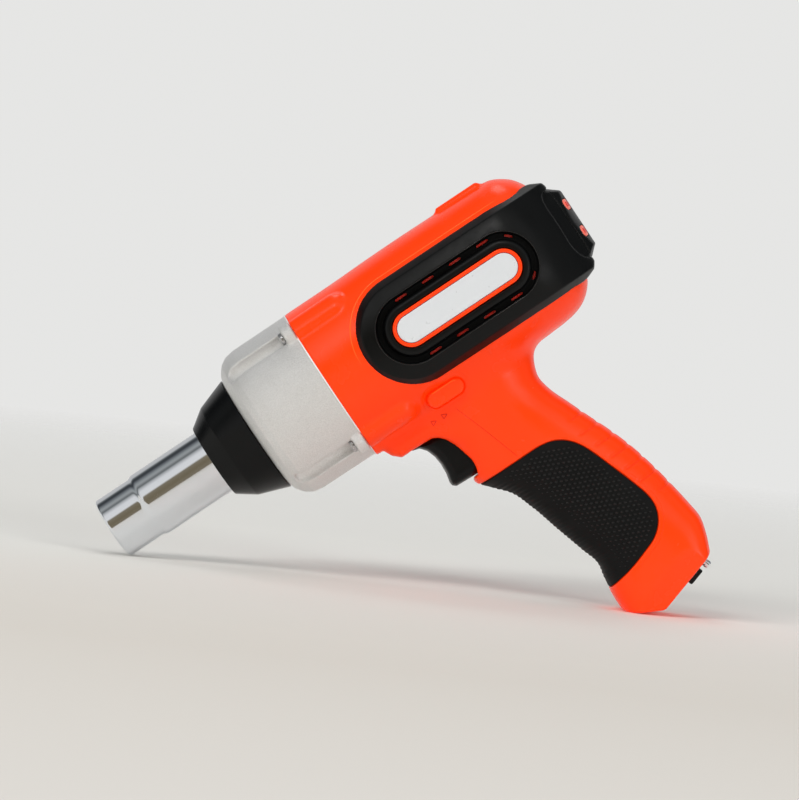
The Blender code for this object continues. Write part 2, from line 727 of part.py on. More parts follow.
def make_gears(paint):
    half_pitch = math.pi * MODULE / 4
    sun = prism("pinion", tooth_outline(SUN_TEETH, 0.85 * MODULE, 1.15 * MODULE, half_pitch - 0.24, 0.0), GEAR_SPAN, paint["steel"], "X")
    cut(sun, rod("shaft_hole", (130, 160), SHAFT_RADIUS + 0.1, None, 12))
    for number in range(PLANETS):
        angle = 2 * math.pi * number / PLANETS
        outline = tooth_outline(PLANET_TEETH, 0.85 * MODULE, 1.15 * MODULE, half_pitch - 0.12, math.pi / PLANET_TEETH + angle)
        planet = prism(f"planet_gear_{number + 1}", outline, (GEAR_SPAN[0], GEAR_SPAN[1] - 0.8), paint["steel"], "X")
        cut(planet, rod("pin_bore", (130, 160), 3.0, None, 12))
        y, z = planet_place(number)
        planet.location = Vector((0, y, z)) * MM
        rod(f"planet_pin_{number + 1}", (CARRIER_FLANGE[0], GEAR_SPAN[1]), 2.8, paint["steel"], 12, (0, y, z))
    spaces = tooth_outline(RING_TEETH, 1.15 * MODULE, 0.85 * MODULE, half_pitch + 0.14, math.pi / RING_TEETH)
    ring = tube("ring_gear", (GEAR_SPAN[0] - 0.6, GEAR_SPAN[1] + 0.6), 30.5, 20.0, paint["steel"], 36)
    cut(ring, prism("spaces", spaces, (120, 160), None, "X"))


def make_hammer_drive(paint):
    make_anvil(paint)
    make_hammer(paint)
    make_spindle(paint)
    coil("hammer_spring", (111.3, 133.2), 17.0, 1.4, 4, paint["dark_steel"])
    make_gears(paint)
    bush_radius = (ANVIL_RADIUS + 0.04) / math.cos(math.pi / 24)
    tube("anvil_bush", (79.6, 96.4), 12.0, bush_radius, paint["bronze"], 24)


# ---------------------------------------------------------------- motor


def make_motor(paint):
    rod("motor_shaft", (GEAR_SPAN[0] - 0.3, 238.0), SHAFT_RADIUS, paint["steel"], 12)
    front, back = MOTOR_SPAN
    turned(
        "motor_can",
        [(front, 8.2), (front, MOTOR_RADIUS), (back, MOTOR_RADIUS), (back, MOTOR_RADIUS - 2), (front + 2, MOTOR_RADIUS - 2), (front + 2, 8.2)],
        paint["dark_steel"], 28,
    )
    for name, middle in (("magnet_upper", 90), ("magnet_lower", 270)):
        sector(name, 18.6, MOTOR_RADIUS - 2 - GAP, (166.0, 204.0), middle, 62, paint["magnet"], 6)
    core = tube("armature_core", (168.0, 202.0), 18.0, SHAFT_RADIUS + 0.1, paint["steel"], 24)
    for k in range(5):
        angle = math.radians(72 * k)
        slot = box("slot", (160, -1.2, 9.0), (210, 1.2, 25.0))
        cut(core, turn_about_x(slot, angle))
    tube("winding_front", (162.0, 167.7), 14.5, SHAFT_RADIUS + 0.1, paint["copper"], 16)
    tube("winding_rear", (202.3, 208.0), 14.5, SHAFT_RADIUS + 0.1, paint["copper"], 16)
    tube("commutator", (208.4, 217.0), 8.0, SHAFT_RADIUS + 0.1, paint["copper"], 16)
    for name, sign in (("brush_upper", 1), ("brush_lower", -1)):
        low, high = sorted((sign * 8.3, sign * 15.0))
        box(name, (210.0, -2.5, low), (216.0, 2.5, high), paint["carbon"])
    turned(
        "motor_end_bell",
        [(back + GAP, 8.2), (back + GAP, MOTOR_RADIUS), (back + 4, MOTOR_RADIUS - 2), (back + 4, 8.2)],
        paint["black"], 28,
    )
    tube("rear_bearing", (back + GAP, back + 5.0), 7.9, SHAFT_RADIUS + 0.1, paint["bronze"], 16)
    tube("front_bearing", (150.0, 156.6), 7.9, SHAFT_RADIUS + 0.1, paint["steel"], 16)
    tube("motor_plate", (149.5, 154.7), 30.8, 8.2, paint["casting"], 28)
    make_fan(paint)


def make_fan(paint):
    fan = tube("cooling_fan", (228.0, 236.0), 5.5, SHAFT_RADIUS + 0.1, paint["black"], 14)
    disc = tube("disc", (228.0, 229.4), 20.0, 4.0, None, 28)
    join(fan, disc)
    for k in range(7):
        blade = box("blade", (228.6, -0.7, 5.0), (236.0, 0.7, 19.0))
        join(fan, turn_about_x(blade, 2 * math.pi * k / 7))
    fan.data.materials.clear()
    fan.data.materials.append(paint["black"])


# ---------------------------------------------------------------- controls and inlet


def make_trigger(paint):
    trigger = prism("trigger", TRIGGER_OUTLINE, (-TRIGGER_HALF_WIDTH, TRIGGER_HALF_WIDTH), paint["black"])
    bevel = trigger.modifiers.new("soft_edges", "BEVEL")
    bevel.width = 1.6 * MM
    bevel.segments = 2
    bevel.limit_method = "ANGLE"
    bevel.angle_limit = math.radians(50)
    switch = box("switch_body", (177.0, -9.0, -73.0), (203.0, 9.0, -53.0), paint["black"])
    coil("trigger_spring", (167.4, 176.6), 3.2, 0.5, 5, paint["steel"], 8, 4).location = (0, 0, -61.5 * MM)
    return trigger, switch


def selector_bar(name, grow, half_span=60.0):
    reach = SELECTOR_HALF_LENGTH - SELECTOR_RADIUS
    x, z = SELECTOR_CENTRE
    return prism(name, stadium(x - reach, x + reach, z, SELECTOR_RADIUS + grow, 5), (-half_span, half_span))


def end_face_matrix():
    """Axes of the handle's end face: X along it, Z out of it."""
    (x0, z0), (x1, z1) = END_FACE
    along = Vector((x1 - x0, 0, z1 - z0)).normalized()
    out = Vector((along.z, 0, -along.x))
    side = out.cross(along)
    matrix = Matrix((along, side, out)).transposed().to_4x4()
    matrix.translation = Vector((x0, 0, z0))
    return matrix


def on_end_face(obj):
    matrix = end_face_matrix()
    matrix.translation *= MM
    obj.data.transform(matrix)
    return obj


def inlet_block(name, grow, paint=None):
    low, high = (17.2 - grow, -6.0 - grow, -12.0), (25.8 + grow, 6.0 + grow, 2.2)
    return on_end_face(box(name, low, high, paint))


def inlet_pin(name, side, grow, paint=None):
    pin = rod(name, (-12.0, 2.8), 1.7 + grow, paint, 12)
    pin.data.transform(Matrix.Rotation(-math.pi / 2, 4, "Y"))
    pin.data.transform(Matrix.Translation(Vector((29.6, side * 4.5, 0)) * MM))
    return on_end_face(pin)


def make_inlet(paint):
    inlet_block("inlet_block", 0.0, paint["black"])
    for side, hand in ((-1, "left"), (1, "right")):
        inlet_pin(f"inlet_pin_{hand}", side, 0.0, paint["chrome"])


# ---------------------------------------------------------------- assembly


def rest_on_surface(nodes):
    """Tilts the tool onto its socket rim and heel, with the middle of its box over the origin."""
    stance = bpy.data.objects.new("stance", None)
    bpy.context.scene.collection.objects.link(stance)
    for node in nodes:
        node.parent = stance
    stance.rotation_euler = (0, -STAND_TILT, 0)
    bpy.context.view_layer.update()
    graph = bpy.context.evaluated_depsgraph_get()
    points = []
    for node in nodes:
        evaluated = node.evaluated_get(graph)
        points += [evaluated.matrix_world @ vertex.co for vertex in evaluated.data.vertices]
    low = [min(p[axis] for p in points) for axis in range(3)]
    high = [max(p[axis] for p in points) for axis in range(3)]
    stance.location = (-(low[0] + high[0]) / 2, 0, -low[2])
    return stance


def main():
    for obj in list(bpy.data.objects):
        bpy.data.objects.remove(obj)
    paint = make_materials()
    make_housing(paint)
    make_side_trims(paint)
    make_labels(paint)
    make_tail_cap(paint)
    make_grip(paint)
    make_housing_screws(paint)
    make_gear_case(paint)
    make_case_screws(paint)
    make_nose(paint)
    make_socket(paint)
    make_hammer_drive(paint)
    make_motor(paint)
    make_trigger(paint)
    selector = selector_bar("direction_selector", 0.0, SELECTOR_HALF_SPAN)
    selector.data.materials.append(paint["orange"])
    make_inlet(paint)
    nodes = [obj for obj in bpy.data.objects if obj.type == "MESH"]
    for node in nodes:
        shade(node)
    rest_on_surface(nodes)


main()
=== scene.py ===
"""Looks for the impact wrench: moulded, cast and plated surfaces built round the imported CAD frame.

Shapes are worked out in the tool's own axes, in millimetres: +X runs back along the drive axis from the socket's
mouth, +Z points away from the handle, and the left side is -Y. place() turns them into the row frame.
Moulded pieces are signed distance fields, negative inside, sampled on a grid and turned into meshes.
"""
import json
from itertools import product
from math import atan, atan2, ceil, cos, dist, hypot, pi, radians, sin, sqrt

import bmesh
import bpy
import numpy as np
from mathutils import Matrix, Vector
from mathutils.bvhtree import BVHTree


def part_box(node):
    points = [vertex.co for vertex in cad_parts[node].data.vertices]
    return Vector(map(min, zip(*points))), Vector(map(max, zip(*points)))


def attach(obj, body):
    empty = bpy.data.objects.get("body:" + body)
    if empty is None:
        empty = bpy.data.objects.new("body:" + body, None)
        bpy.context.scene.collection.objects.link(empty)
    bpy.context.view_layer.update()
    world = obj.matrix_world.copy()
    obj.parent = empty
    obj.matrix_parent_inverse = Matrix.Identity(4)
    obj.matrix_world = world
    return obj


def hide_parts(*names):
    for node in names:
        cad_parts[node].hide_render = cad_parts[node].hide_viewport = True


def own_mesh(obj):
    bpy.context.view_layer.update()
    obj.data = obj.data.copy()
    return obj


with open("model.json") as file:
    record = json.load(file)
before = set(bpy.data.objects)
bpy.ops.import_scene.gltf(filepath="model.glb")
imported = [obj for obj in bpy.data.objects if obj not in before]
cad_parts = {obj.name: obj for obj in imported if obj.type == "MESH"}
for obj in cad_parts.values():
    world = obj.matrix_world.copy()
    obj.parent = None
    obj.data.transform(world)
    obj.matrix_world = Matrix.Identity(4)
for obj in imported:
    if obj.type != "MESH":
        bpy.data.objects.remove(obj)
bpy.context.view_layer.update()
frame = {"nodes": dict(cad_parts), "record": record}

scene = bpy.context.scene
MM = 0.001

# ---------------- places, from the record's socket mount

FACE_POINT_HEIGHT = 12.8  # the mount's point lies this far above the drive axis
_mount = next(m for m in frame["record"]["mounts"] if m["name"] == "socket_face")
ALONG = -Vector(_mount["axis"])
UP = ALONG.cross(Vector((0, 1, 0)))
ORIGIN = Vector(_mount["pos_m"]) - UP * FACE_POINT_HEIGHT * MM
TOOL = Matrix((ALONG, Vector((0, 1, 0)), UP)).transposed()


def place(points):
    """Tool millimetres to row metres, for an array of points."""
    return np.asarray(points) @ np.array(TOOL).T * MM + np.array(ORIGIN)


def spot(x, y, z):
    """One point in tool millimetres as a vector in the row frame."""
    return Vector(place([(x, y, z)])[0])


# ---------------- sizes

HOUSING_FRONT = 125.5
WALL = 2.4
GAP = 0.25
OVERLAP = 0.08  # how far each half reaches past the middle plane
SIDES = ((-1, "left"), (1, "right"))
TRIM_Z = 0.8
TRIM_FRONT = 172.0
TRIM_RADIUS = 26.6
TRIM_ARCH = 50.0
OVAL = (172.2, 224.1)
CHANNEL_RADIUS = 16.4
CHANNEL_FLOOR = 34.8
CHANNEL_RIM = 38.6  # the channel's painted shade ends this far from the middle plane
CHANNEL_START = 28.0  # and starts this far from it
CUP_WALL = 1.6
ISLAND_RADIUS = 12.9
ISLAND_TOP = 39.8
CARRIER_RADIUS = 8.7
LABEL_RADIUS = 6.6
TAIL_DOME = (232.0, 36.1)  # centre and radius, seen from above
TAIL_FLANK = (263.3, 17.8)  # the flanks lean in at 45 degrees through this point
TAIL_SLOT_Y = (8.6, 10.8)
TAIL_SLOT_RADIUS = 3.1
TAIL_SLOT_Z = (-5.8, 9.2)
BOSS_ANGLE = radians(39)
BOSS_CIRCLE = 38.4
BOSS_RADIUS = 6.3
BOSS_BACK = 147.0
BOSS_Y, BOSS_Z = BOSS_CIRCLE * sin(BOSS_ANGLE), BOSS_CIRCLE * cos(BOSS_ANGLE)
EAR_FRONT = 119.9
CASE_BACK = 125.25
CASE_SCREW_SEAT = 119.6
SELECTOR = (169.0, -33.4)  # middle of its outline
SELECTOR_REACH = 5.6
SELECTOR_RADIUS = 4.1
HOUSING_SCREWS = {"front": (135.5, -42.5), "neck": (203.0, -47.5), "top": (243.0, 32.0), "heel": (204.0, -158.0)}
SCREW_HEAD = 2.4  # height of a housing screw's head
END_FACE = ((198.7, -177.2), (231.9, -166.9))
END_ALONG = tuple((b - a) / dist(*END_FACE) for a, b in zip(*END_FACE))
REST_LINE = ((0.6, -15.42), (185.6, -170.2))  # the socket's edge and the handle's toe, which touch the floor
INLET_DEPTH = 12.3
INLET_BLOCK = (21.5, 4.3, 6.0)  # middle along the end face, half length, half width
INLET_PIN = (29.6, 4.5)  # along the end face, and from the middle plane

BARREL = {  # x: top, bottom, half width
    116.0: (39.5, -39.3, 39.3), 125.5: (39.6, -39.3, 39.3), 150.0: (39.7, -39.2, 38.9), 180.0: (40.3, -39.0, 38.4),
    215.0: (40.2, -38.6, 38.0), 228.0: (40.0, -38.0, 37.4), 236.0: (39.8, -37.4, 36.6), 242.5: (39.1, -36.2, 34.9),
    248.0: (36.2, -33.8, 32.2), 252.0: (32.8, -30.6, 28.8), 255.8: (27.2, -25.9, 23.2), 262.0: (17.0, -16.0, 13.0),
}
HANDLE = {  # z: front, back, half width, exponent
    -190.0: (183.0, 226.0, 20.4, 4.0), -168.0: (182.1, 231.6, 20.4, 4.0), -158.0: (182.1, 235.6, 20.0, 3.6),
    -150.0: (183.4, 237.6, 19.2, 3.0), -142.0: (184.8, 236.8, 18.4, 2.6), -132.0: (182.0, 235.2, 17.8, 2.4),
    -117.0: (177.6, 232.3, 17.4, 2.3), -102.0: (173.3, 228.3, 17.4, 2.3), -90.0: (168.2, 223.9, 18.0, 2.4),
    -83.0: (161.8, 220.9, 18.6, 2.5), -78.5: (157.8, 219.0, 19.0, 2.6), -70.0: (157.6, 215.6, 19.2, 2.6),
    -60.0: (156.5, 211.6, 19.4, 2.5), -52.0: (154.0, 210.2, 20.0, 2.5), -44.0: (152.0, 212.4, 21.0, 2.4),
    -30.0: (152.0, 214.0, 22.5, 2.4), -10.0: (152.0, 214.0, 24.0, 2.4),
}
GROOVES = (  # height, length
    (-76.9, 9.0), (-85.4, 12.5), (-93.9, 12.5), (-102.4, 12.5), (-110.9, 12.5), (-119.4, 12.5), (-127.9, 8.0),
)
GRIP = (
    (148.0, -79.4), (192.0, -79.0), (199.0, -80.4), (204.6, -84.0), (208.8, -89.4), (211.8, -96.2),
    (219.3, -117.3), (222.2, -127.0), (222.4, -133.4), (219.6, -140.0), (213.6, -145.6), (196.5, -151.6),
    (182.6, -154.4), (170.0, -156.4),
)
GRIP_THICKNESS = 1.8
GRIP_BEND = (0, 6, 6, 6, 6, 6, 12, 8, 6, 6, 6, 6, 0, 0)
GUARD = (
    (116.0, -26.0), (116.0, -39.0), (129.0, -40.2), (131.0, -44.4), (134.6, -47.8), (146.5, -48.1), (151.5, -48.4),
    (161.0, -56.0), (166.0, -58.0), (166.0, -44.0), (162.0, -26.0),
)
TOP_PAD = ((207.5, 36.0), (213.5, 42.0), (236.0, 42.0), (241.5, 36.0))
FINGER_CUT = (
    (128.0, -48.6), (149.0, -48.6), (152.0, -48.8), (154.3, -49.7), (156.8, -52.3), (158.2, -55.7), (159.4, -59.6),
    (160.7, -63.5), (161.7, -66.9), (161.5, -70.6), (160.2, -73.6), (157.4, -75.2), (128.0, -75.2),
)
TRIGGER_SLOT = ((139.0, -46.8), (178.0, -46.2), (178.0, -74.8), (128.0, -74.8), (128.0, -48.2), (139.0, -48.2))
TRIGGER = (
    (139.6, -47.2), (140.4, -48.2), (143.9, -49.2), (146.3, -52.2), (147.7, -56.4), (148.2, -61.0), (147.9, -66.0),
    (146.9, -70.4), (147.0, -72.4), (148.8, -73.9), (160.0, -74.3), (166.0, -73.0), (167.2, -68.0),
    (167.2, -55.0), (163.0, -47.2),
)
TRIGGER_HALF_WIDTH = 10.5
TRIM_WIDTH = {130.0: 40.8, 225.0: 40.8, 236.0: 39.7, 244.0: 36.8, 250.0: 32.8, 257.0: 26.4, 262.0: 20.0, 266.0: 12.0}
TAIL_PROFILE = (
    (240.0, 20.9), (262.6, 20.8), (267.4, 16.9), (270.0, 14.0), (270.0, -12.6), (267.2, -14.6), (263.2, -18.4),
    (240.0, -18.6),
)
VALLEY = (  # where the side panel's surface drops to the tail's flank
    (275.0, 20.7), (262.6, 20.7), (259.6, 20.0), (258.2, 18.8), (257.2, 16.4), (256.8, 12.0), (256.9, 3.0),
    (256.5, -7.0), (256.9, -10.6), (257.8, -13.6), (259.4, -16.4), (261.0, -17.8), (262.6, -18.3), (275.0, -18.3),
)
PANEL_END = (
    (130.0, 60.0), (236.0, 36.0), (255.4, 27.6), (261.9, 24.2), (262.6, 22.0), (262.6, -20.4), (260.3, -23.6),
    (255.9, -25.3), (250.0, -27.5), (130.0, -60.0),
)
CASE_PROFILE = (  # x, radius
    (66.0, 18.2), (66.0, 21.0), (82.9, 21.0), (83.0, 29.6), (84.2, 32.6), (87.0, 36.2), (90.6, 38.4), (95.5, 39.2),
    (CASE_BACK, 39.3), (CASE_BACK, 32.2), (92.0, 32.2), (89.0, 29.0), (89.0, 12.3), (79.0, 12.3), (79.0, 18.2),
)
NOSE_PROFILE = ((58.6, 17.25), (58.6, 18.6), (67.5, 24.9), (82.7, 30.2), (82.7, 21.3), (65.8, 21.3), (65.8, 17.25))
MOUTH_FLATS, REAR_FLATS, DRIVE_HALF = 21.0, 23.0, 6.45
SOCKET_STEPS = ((0.0, 14.3), (0.9, 15.5), (19.4, 15.5), (21.4, 16.5), (77.0, 16.5), (78.0, 15.6))
SPRINGS = (  # joint, name, ends along X, radius, wire's radius, turns, height, finish
    ("hammer_slide", "hammer_coil", (111.3, 133.2), 17.0, 1.4, 4, 0.0, "dark_steel"),
    ("trigger_slide", "trigger_coil", (167.4, 176.6), 3.2, 0.5, 5, -61.5, "steel"),
)

# ---------------- fields


def soft_min(a, b, k):
    """Union of two fields with a fillet about k wide."""
    h = np.maximum(k - np.abs(a - b), 0.0) / k
    return np.minimum(a, b) - h * h * k * 0.25


def soft_max(a, b, k):
    """Intersection of two fields with a rounded edge about k wide."""
    return -soft_min(-a, -b, k)


def cut_from(a, b, k):
    """Field a with b taken away."""
    return soft_max(a, -b, k)


def chamfered(a, b, leg):
    """Intersection of two fields whose edge is cut flat."""
    return np.maximum(np.maximum(a, b), (a + b + leg) * sqrt(0.5))


def ramp(t, knots, column=None):
    """Smooth curve through {place: value} knots, with level slopes taken from the neighbours."""
    xs = np.array(sorted(knots), dtype=float)
    ys = np.array([knots[x] if column is None else knots[x][column] for x in xs], dtype=float)
    slopes = np.gradient(ys, xs)
    k = np.clip(np.searchsorted(xs, t) - 1, 0, len(xs) - 2)
    width = xs[k + 1] - xs[k]
    s = unit((t - xs[k]) / width)
    a, b = ys[k], ys[k + 1]
    return (
        a * (1 + 2 * s) * (1 - s) ** 2 + b * s * s * (3 - 2 * s)
        + width * (slopes[k] * s * (1 - s) ** 2 - slopes[k + 1] * s * s * (1 - s))
    ).astype(np.float32)


def unit(t):
    """t, held between 0 and 1."""
    return np.clip(t, 0.0, 1.0)


def bump(t, centre, width):
    """A smooth hump of height 1."""
    return np.exp(-(((t - centre) / width) ** 2))


def polygon(x, z, points):
    """Signed distance to a closed outline in the side view."""
    best = np.full(np.broadcast(x, z).shape, 1e9)
    inside = np.zeros(best.shape, dtype=bool)
    for (x0, z0), (x1, z1) in zip(points, points[1:] + points[:1]):
        ex, ez = x1 - x0, z1 - z0
        t = unit(((x - x0) * ex + (z - z0) * ez) / (ex * ex + ez * ez))
        best = np.minimum(best, (x - x0 - t * ex) ** 2 + (z - z0 - t * ez) ** 2)
        if z0 != z1:
            inside ^= ((z0 > z) != (z1 > z)) & (x < x0 + (z - z0) * ex / ez)
    return (np.sqrt(best) * np.where(inside, -1.0, 1.0)).astype(np.float32)


def stadium(x, z, first, last, middle, radius):
    return np.hypot(x - np.clip(x, first, last), z - middle) - radius


def oval(x, z, radius):
    """Distance to a stadium round the label's two end centres."""
    return stadium(x, z, *OVAL, TRIM_Z, radius)


def plane(x, z, start, end):
    """Distance below the line from start to end, seen from the side, positive on its right-hand side."""
    ex, ez = end[0] - start[0], end[1] - start[1]
    return ((x - start[0]) * ez - (z - start[1]) * ex) / hypot(ex, ez)


def rounded_section(a, b, half_a, half_b, exponent):
    """Distance along the ray from the middle of a rounded rectangle to its edge."""
    rho = ((np.abs(a) / half_a) ** exponent + (np.abs(b) / half_b) ** exponent) ** (1.0 / exponent)
    return np.hypot(a, b) * (1.0 - 1.0 / np.maximum(rho, 1e-3))


def true_distance(field, step):
    """Scales a field so that its slope is about 1 near the surface."""
    slope = np.sqrt(sum(g * g for g in np.gradient(field, step)))
    return field / np.clip(slope, 0.35, 4.0)


class Grid:
    """A regular grid's corner, step and coordinates."""

    def __init__(self, low, high, step):
        self.low, self.step = np.array(low, dtype=float), step
        axes = [np.arange(a, b + step, step, dtype=np.float32) for a, b in zip(low, high)]
        self.axes = np.meshgrid(*axes, indexing="ij", sparse=True)


def grid(low, high, step):
    """A grid, and its coordinates as arrays that combine by broadcasting."""
    g = Grid(low, high, step)
    return g, *g.axes


# ---------------- fields to meshes


def sample(values, points):
    """The field between grid points, for points in grid units."""
    base = np.clip(np.floor(points).astype(np.int64), 0, np.array(values.shape) - 2)
    t = points - base
    total = np.zeros(len(points))
    for corner in product((0, 1), repeat=3):
        weight = np.prod([t[:, k] if corner[k] else 1.0 - t[:, k] for k in range(3)], axis=0)
        total += weight * values[tuple((base + corner).T)]
    return total


def slope(values, points):
    """The field's gradient at points, all in grid units."""
    reach = 0.6
    steps = np.eye(3) * reach
    return np.stack([sample(values, points + s) - sample(values, points - s) for s in steps], axis=1) / (2 * reach)


def surface(values):
    """Vertices in grid units and quads of the field's zero level, by surface nets drawn onto the level itself."""
    inside = values < 0
    shape = np.array(values.shape)
    corners = product((0, 1), repeat=3)
    blocks = [inside[tuple(slice(c, n - 1 + c) for c, n in zip(corner, shape))] for corner in corners]
    count = np.sum(blocks, axis=0, dtype=np.int8)
    cells = np.argwhere((count > 0) & (count < 8))
    index = np.full(shape - 1, -1, dtype=np.int32)
    index[tuple(cells.T)] = np.arange(len(cells))
    total = np.zeros((len(cells), 3))
    hits = np.zeros(len(cells))
    for axis in range(3):
        for pair in product((0, 1), repeat=2):
            start = np.insert(np.array(pair), axis, 0)
            end = np.insert(np.array(pair), axis, 1)
            a, b = values[tuple((cells + start).T)], values[tuple((cells + end).T)]
            crossed = (a < 0) != (b < 0)
            t = np.where(crossed, a / np.where(crossed, a - b, 1.0), 0.0)
            point = start + np.outer(t, np.eye(3)[axis])
            total += point * crossed[:, None]
            hits += crossed
    points = cells + total / hits[:, None]
    quads = []
    for axis in range(3):
        b, c = (axis + 1) % 3, (axis + 2) % 3
        low = np.take(inside, range(shape[axis] - 1), axis)
        high = np.take(inside, range(1, shape[axis]), axis)
        for rising in (True, False):
            edges = np.argwhere(low & ~high if rising else ~low & high)
            across = edges[:, [b, c]]
            edges = edges[((across > 0) & (across < shape[[b, c]] - 1)).all(axis=1)]
            eb, ec = np.eye(3, dtype=int)[b], np.eye(3, dtype=int)[c]
            ring = [edges - eb - ec, edges - ec, edges, edges - eb]
            if not rising:
                ring.reverse()
            quads.append(np.stack([index[tuple(r.T)] for r in ring], axis=1))
    for _ in range(3):
        g = slope(values, points)
        move = sample(values, points)[:, None] * g / np.maximum((g * g).sum(axis=1), 1e-3)[:, None]
        points = points - np.clip(move, -0.35, 0.35)
    return points, np.concatenate(quads), slope(values, points)


def link(name, mesh, material):
    obj = bpy.data.objects.new(name, mesh)
    mesh.materials.append(material)
    scene.collection.objects.link(obj)
    return obj


def declare(obj, node=None, body="housing"):
    """Says which body a piece rides and, where there is one, the CAD node it stands for."""
    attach(obj, body)
    if node:
        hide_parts(node)


def tree_of(obj):
    """The object's surface, to cast rays at."""
    return BVHTree.FromObject(obj, bpy.context.evaluated_depsgraph_get())


def moulded(name, grid, values, material, side=1):
    """The mesh of a field, as an object in the row frame; side -1 mirrors it to the tool's left."""
    points, quads, normals = surface(values)
    points = grid.low + points * grid.step
    if side < 0:
        points[:, 1] *= -1
        normals[:, 1] *= -1
        quads = quads[:, ::-1]
    mesh = bpy.data.meshes.new(name)
    mesh.from_pydata(place(points), [], quads)
    mesh.shade_smooth()
    normals = normals @ np.array(TOOL).T
    normals /= np.maximum(np.linalg.norm(normals, axis=1), 1e-9)[:, None]
    mesh.normals_split_custom_set_from_vertices(normals)
    return link(name, mesh, material)


def join_rings(bm, rings, closed):
    """Quads between equal rings of vertices; closed joins the last ring to the first, else both ends are capped."""
    for k in range(len(rings) if closed else len(rings) - 1):
        low, high = rings[k], rings[(k + 1) % len(rings)]
        for i in range(len(low)):
            following = (i + 1) % len(low)
            bm.faces.new((low[i], low[following], high[following], high[i]))
    if not closed:
        bm.faces.new(rings[-1])
        bm.faces.new(rings[0][::-1])


def smooth_mesh(name, bm):
    mesh = bpy.data.meshes.new(name)
    bm.to_mesh(mesh)
    bm.free()
    mesh.shade_smooth()
    return mesh


def ring_mesh(name, rings, material, closed=True, sharp=30):
    """A mesh through equal rings of points in the tool's axes."""
    bm = bmesh.new()
    join_rings(bm, [[bm.verts.new(p) for p in place(ring)] for ring in rings], closed)
    bmesh.ops.remove_doubles(bm, verts=bm.verts, dist=2e-7)
    bmesh.ops.recalc_face_normals(bm, faces=bm.faces)
    mesh = smooth_mesh(name, bm)
    mesh.set_sharp_from_angle(angle=radians(sharp))
    return link(name, mesh, material)


def rounded(points, radius, steps=4):
    """A closed outline with each corner turned into a small arc; radius may be one number or one a corner."""
    radii = [radius] * len(points) if np.isscalar(radius) else radius
    result = []
    for k, corner in enumerate(points):
        before, after = Vector(points[k - 1]), Vector(points[(k + 1) % len(points)])
        corner = Vector(corner)
        to_a, to_b = (before - corner), (after - corner)
        r = min(radii[k], to_a.length * 0.49, to_b.length * 0.49)
        if r < 1e-4:
            result.append(tuple(corner))
            continue
        a, b = corner + to_a.normalized() * r, corner + to_b.normalized() * r
        for s in np.linspace(0.0, 1.0, steps + 1):
            result.append(tuple(a * (1 - s) ** 2 + corner * 2 * s * (1 - s) + b * s * s))
    return result


def held(profile):
    """Extra points close to the ends of each long straight stretch, so that smooth shading stays flat between them."""
    reach, longest = 0.25, 8.0
    result = []
    for a, b in zip(profile, profile[1:] + profile[:1]):
        a, b = Vector(a), Vector(b)
        result.append(tuple(a))
        length = (b - a).length
        if length > 4 * reach:
            inner = np.linspace(0, 1, max(2, ceil(length / longest) + 1))[1:-1]
            result += [tuple(a.lerp(b, t)) for t in (reach / length, *inner, 1 - reach / length)]
    return result


def circle(count):
    """Evenly spaced angles once round."""
    return np.arange(count) * 2 * pi / count


def turned(name, profile, material, sides=96, shape=None, at=(0.0, 0.0), sharp=30):
    """A closed (x, radius) outline turned about an axis along X at (y, z); shape(x, radius, angle) may vary it."""
    angles = circle(sides)
    rings = []
    for x, radius in profile:
        r = np.full(sides, float(radius)) if shape is None else shape(x, radius, angles)
        ring = [np.full(sides, float(x)), at[0] + r * np.cos(angles), at[1] + r * np.sin(angles)]
        rings.append(np.stack(ring, axis=1))
    return ring_mesh(name, rings, material, sharp=sharp)


# ---------------- shared shapes


def barrel(x, y, z):
    """The motor housing along the drive axis."""
    top, bottom, width = (ramp(x, BARREL, k) for k in range(3))
    exponent = 2.0 + 0.2 * unit((x - 126) / 50)
    body = rounded_section(y, z - (top + bottom) / 2, width, (top - bottom) / 2, exponent)
    return soft_max(body, x - 255.8, 1.5)


def handle(x, y, z):
    """The leaning handle, in level slices."""
    front, back, width, exponent = (ramp(z, HANDLE, k) for k in range(4))
    return rounded_section(x - (front + back) / 2, y, (back - front) / 2, width, exponent)


def below(x, z):
    """Negative above the handle's end face and above the plane the tool rests on."""
    (x0, z0), (x1, z1) = END_FACE
    floor = plane(x, z, *REST_LINE)
    return soft_max(soft_max(plane(x, z, REST_LINE[1], (x0, z0)), plane(x, z, (x0, z0), (x1, z1)), 1.2), floor, 0.8)


def heel(x, y, z):
    """The flat bevels along the sides above the end face."""
    depth = plane(x, z, *END_FACE)
    return (y - 20.5 + 0.3 * (12.5 - np.abs(depth))) / 1.04


def from_case_screw(y, z):
    """Distance from the nearer of one side's two case screws, seen along the drive axis."""
    return np.minimum(*[np.hypot(y - BOSS_Y, z - s * BOSS_Z) for s in (-1, 1)])


def bosses(x, y, z):
    """The round bosses on the case screws' axes."""
    return np.hypot(from_case_screw(y, z), np.maximum(x - BOSS_BACK, 0.0)) - BOSS_RADIUS


def selector_outline(x, z):
    middle, level = SELECTOR
    return stadium(x, z, middle - SELECTOR_REACH, middle + SELECTOR_REACH, level, SELECTOR_RADIUS)


def trim_outline(x, z):
    return stadium(x, z, TRIM_FRONT, 400.0, TRIM_Z, TRIM_RADIUS)


def trim_face(x, y, z):
    """Outside of the side panel: an arch across its height that closes in towards the back."""
    width = ramp(x, TRIM_WIDTH)
    arch = width - TRIM_ARCH + np.sqrt(np.maximum(TRIM_ARCH ** 2 - (z - TRIM_Z) ** 2, 1.0))
    lean = np.sqrt(1 + (ramp(x + 0.5, TRIM_WIDTH) - ramp(x - 0.5, TRIM_WIDTH)) ** 2)
    return (y - arch) * np.sqrt(np.maximum(1 - ((z - TRIM_Z) / TRIM_ARCH) ** 2, 0.05)) / lean


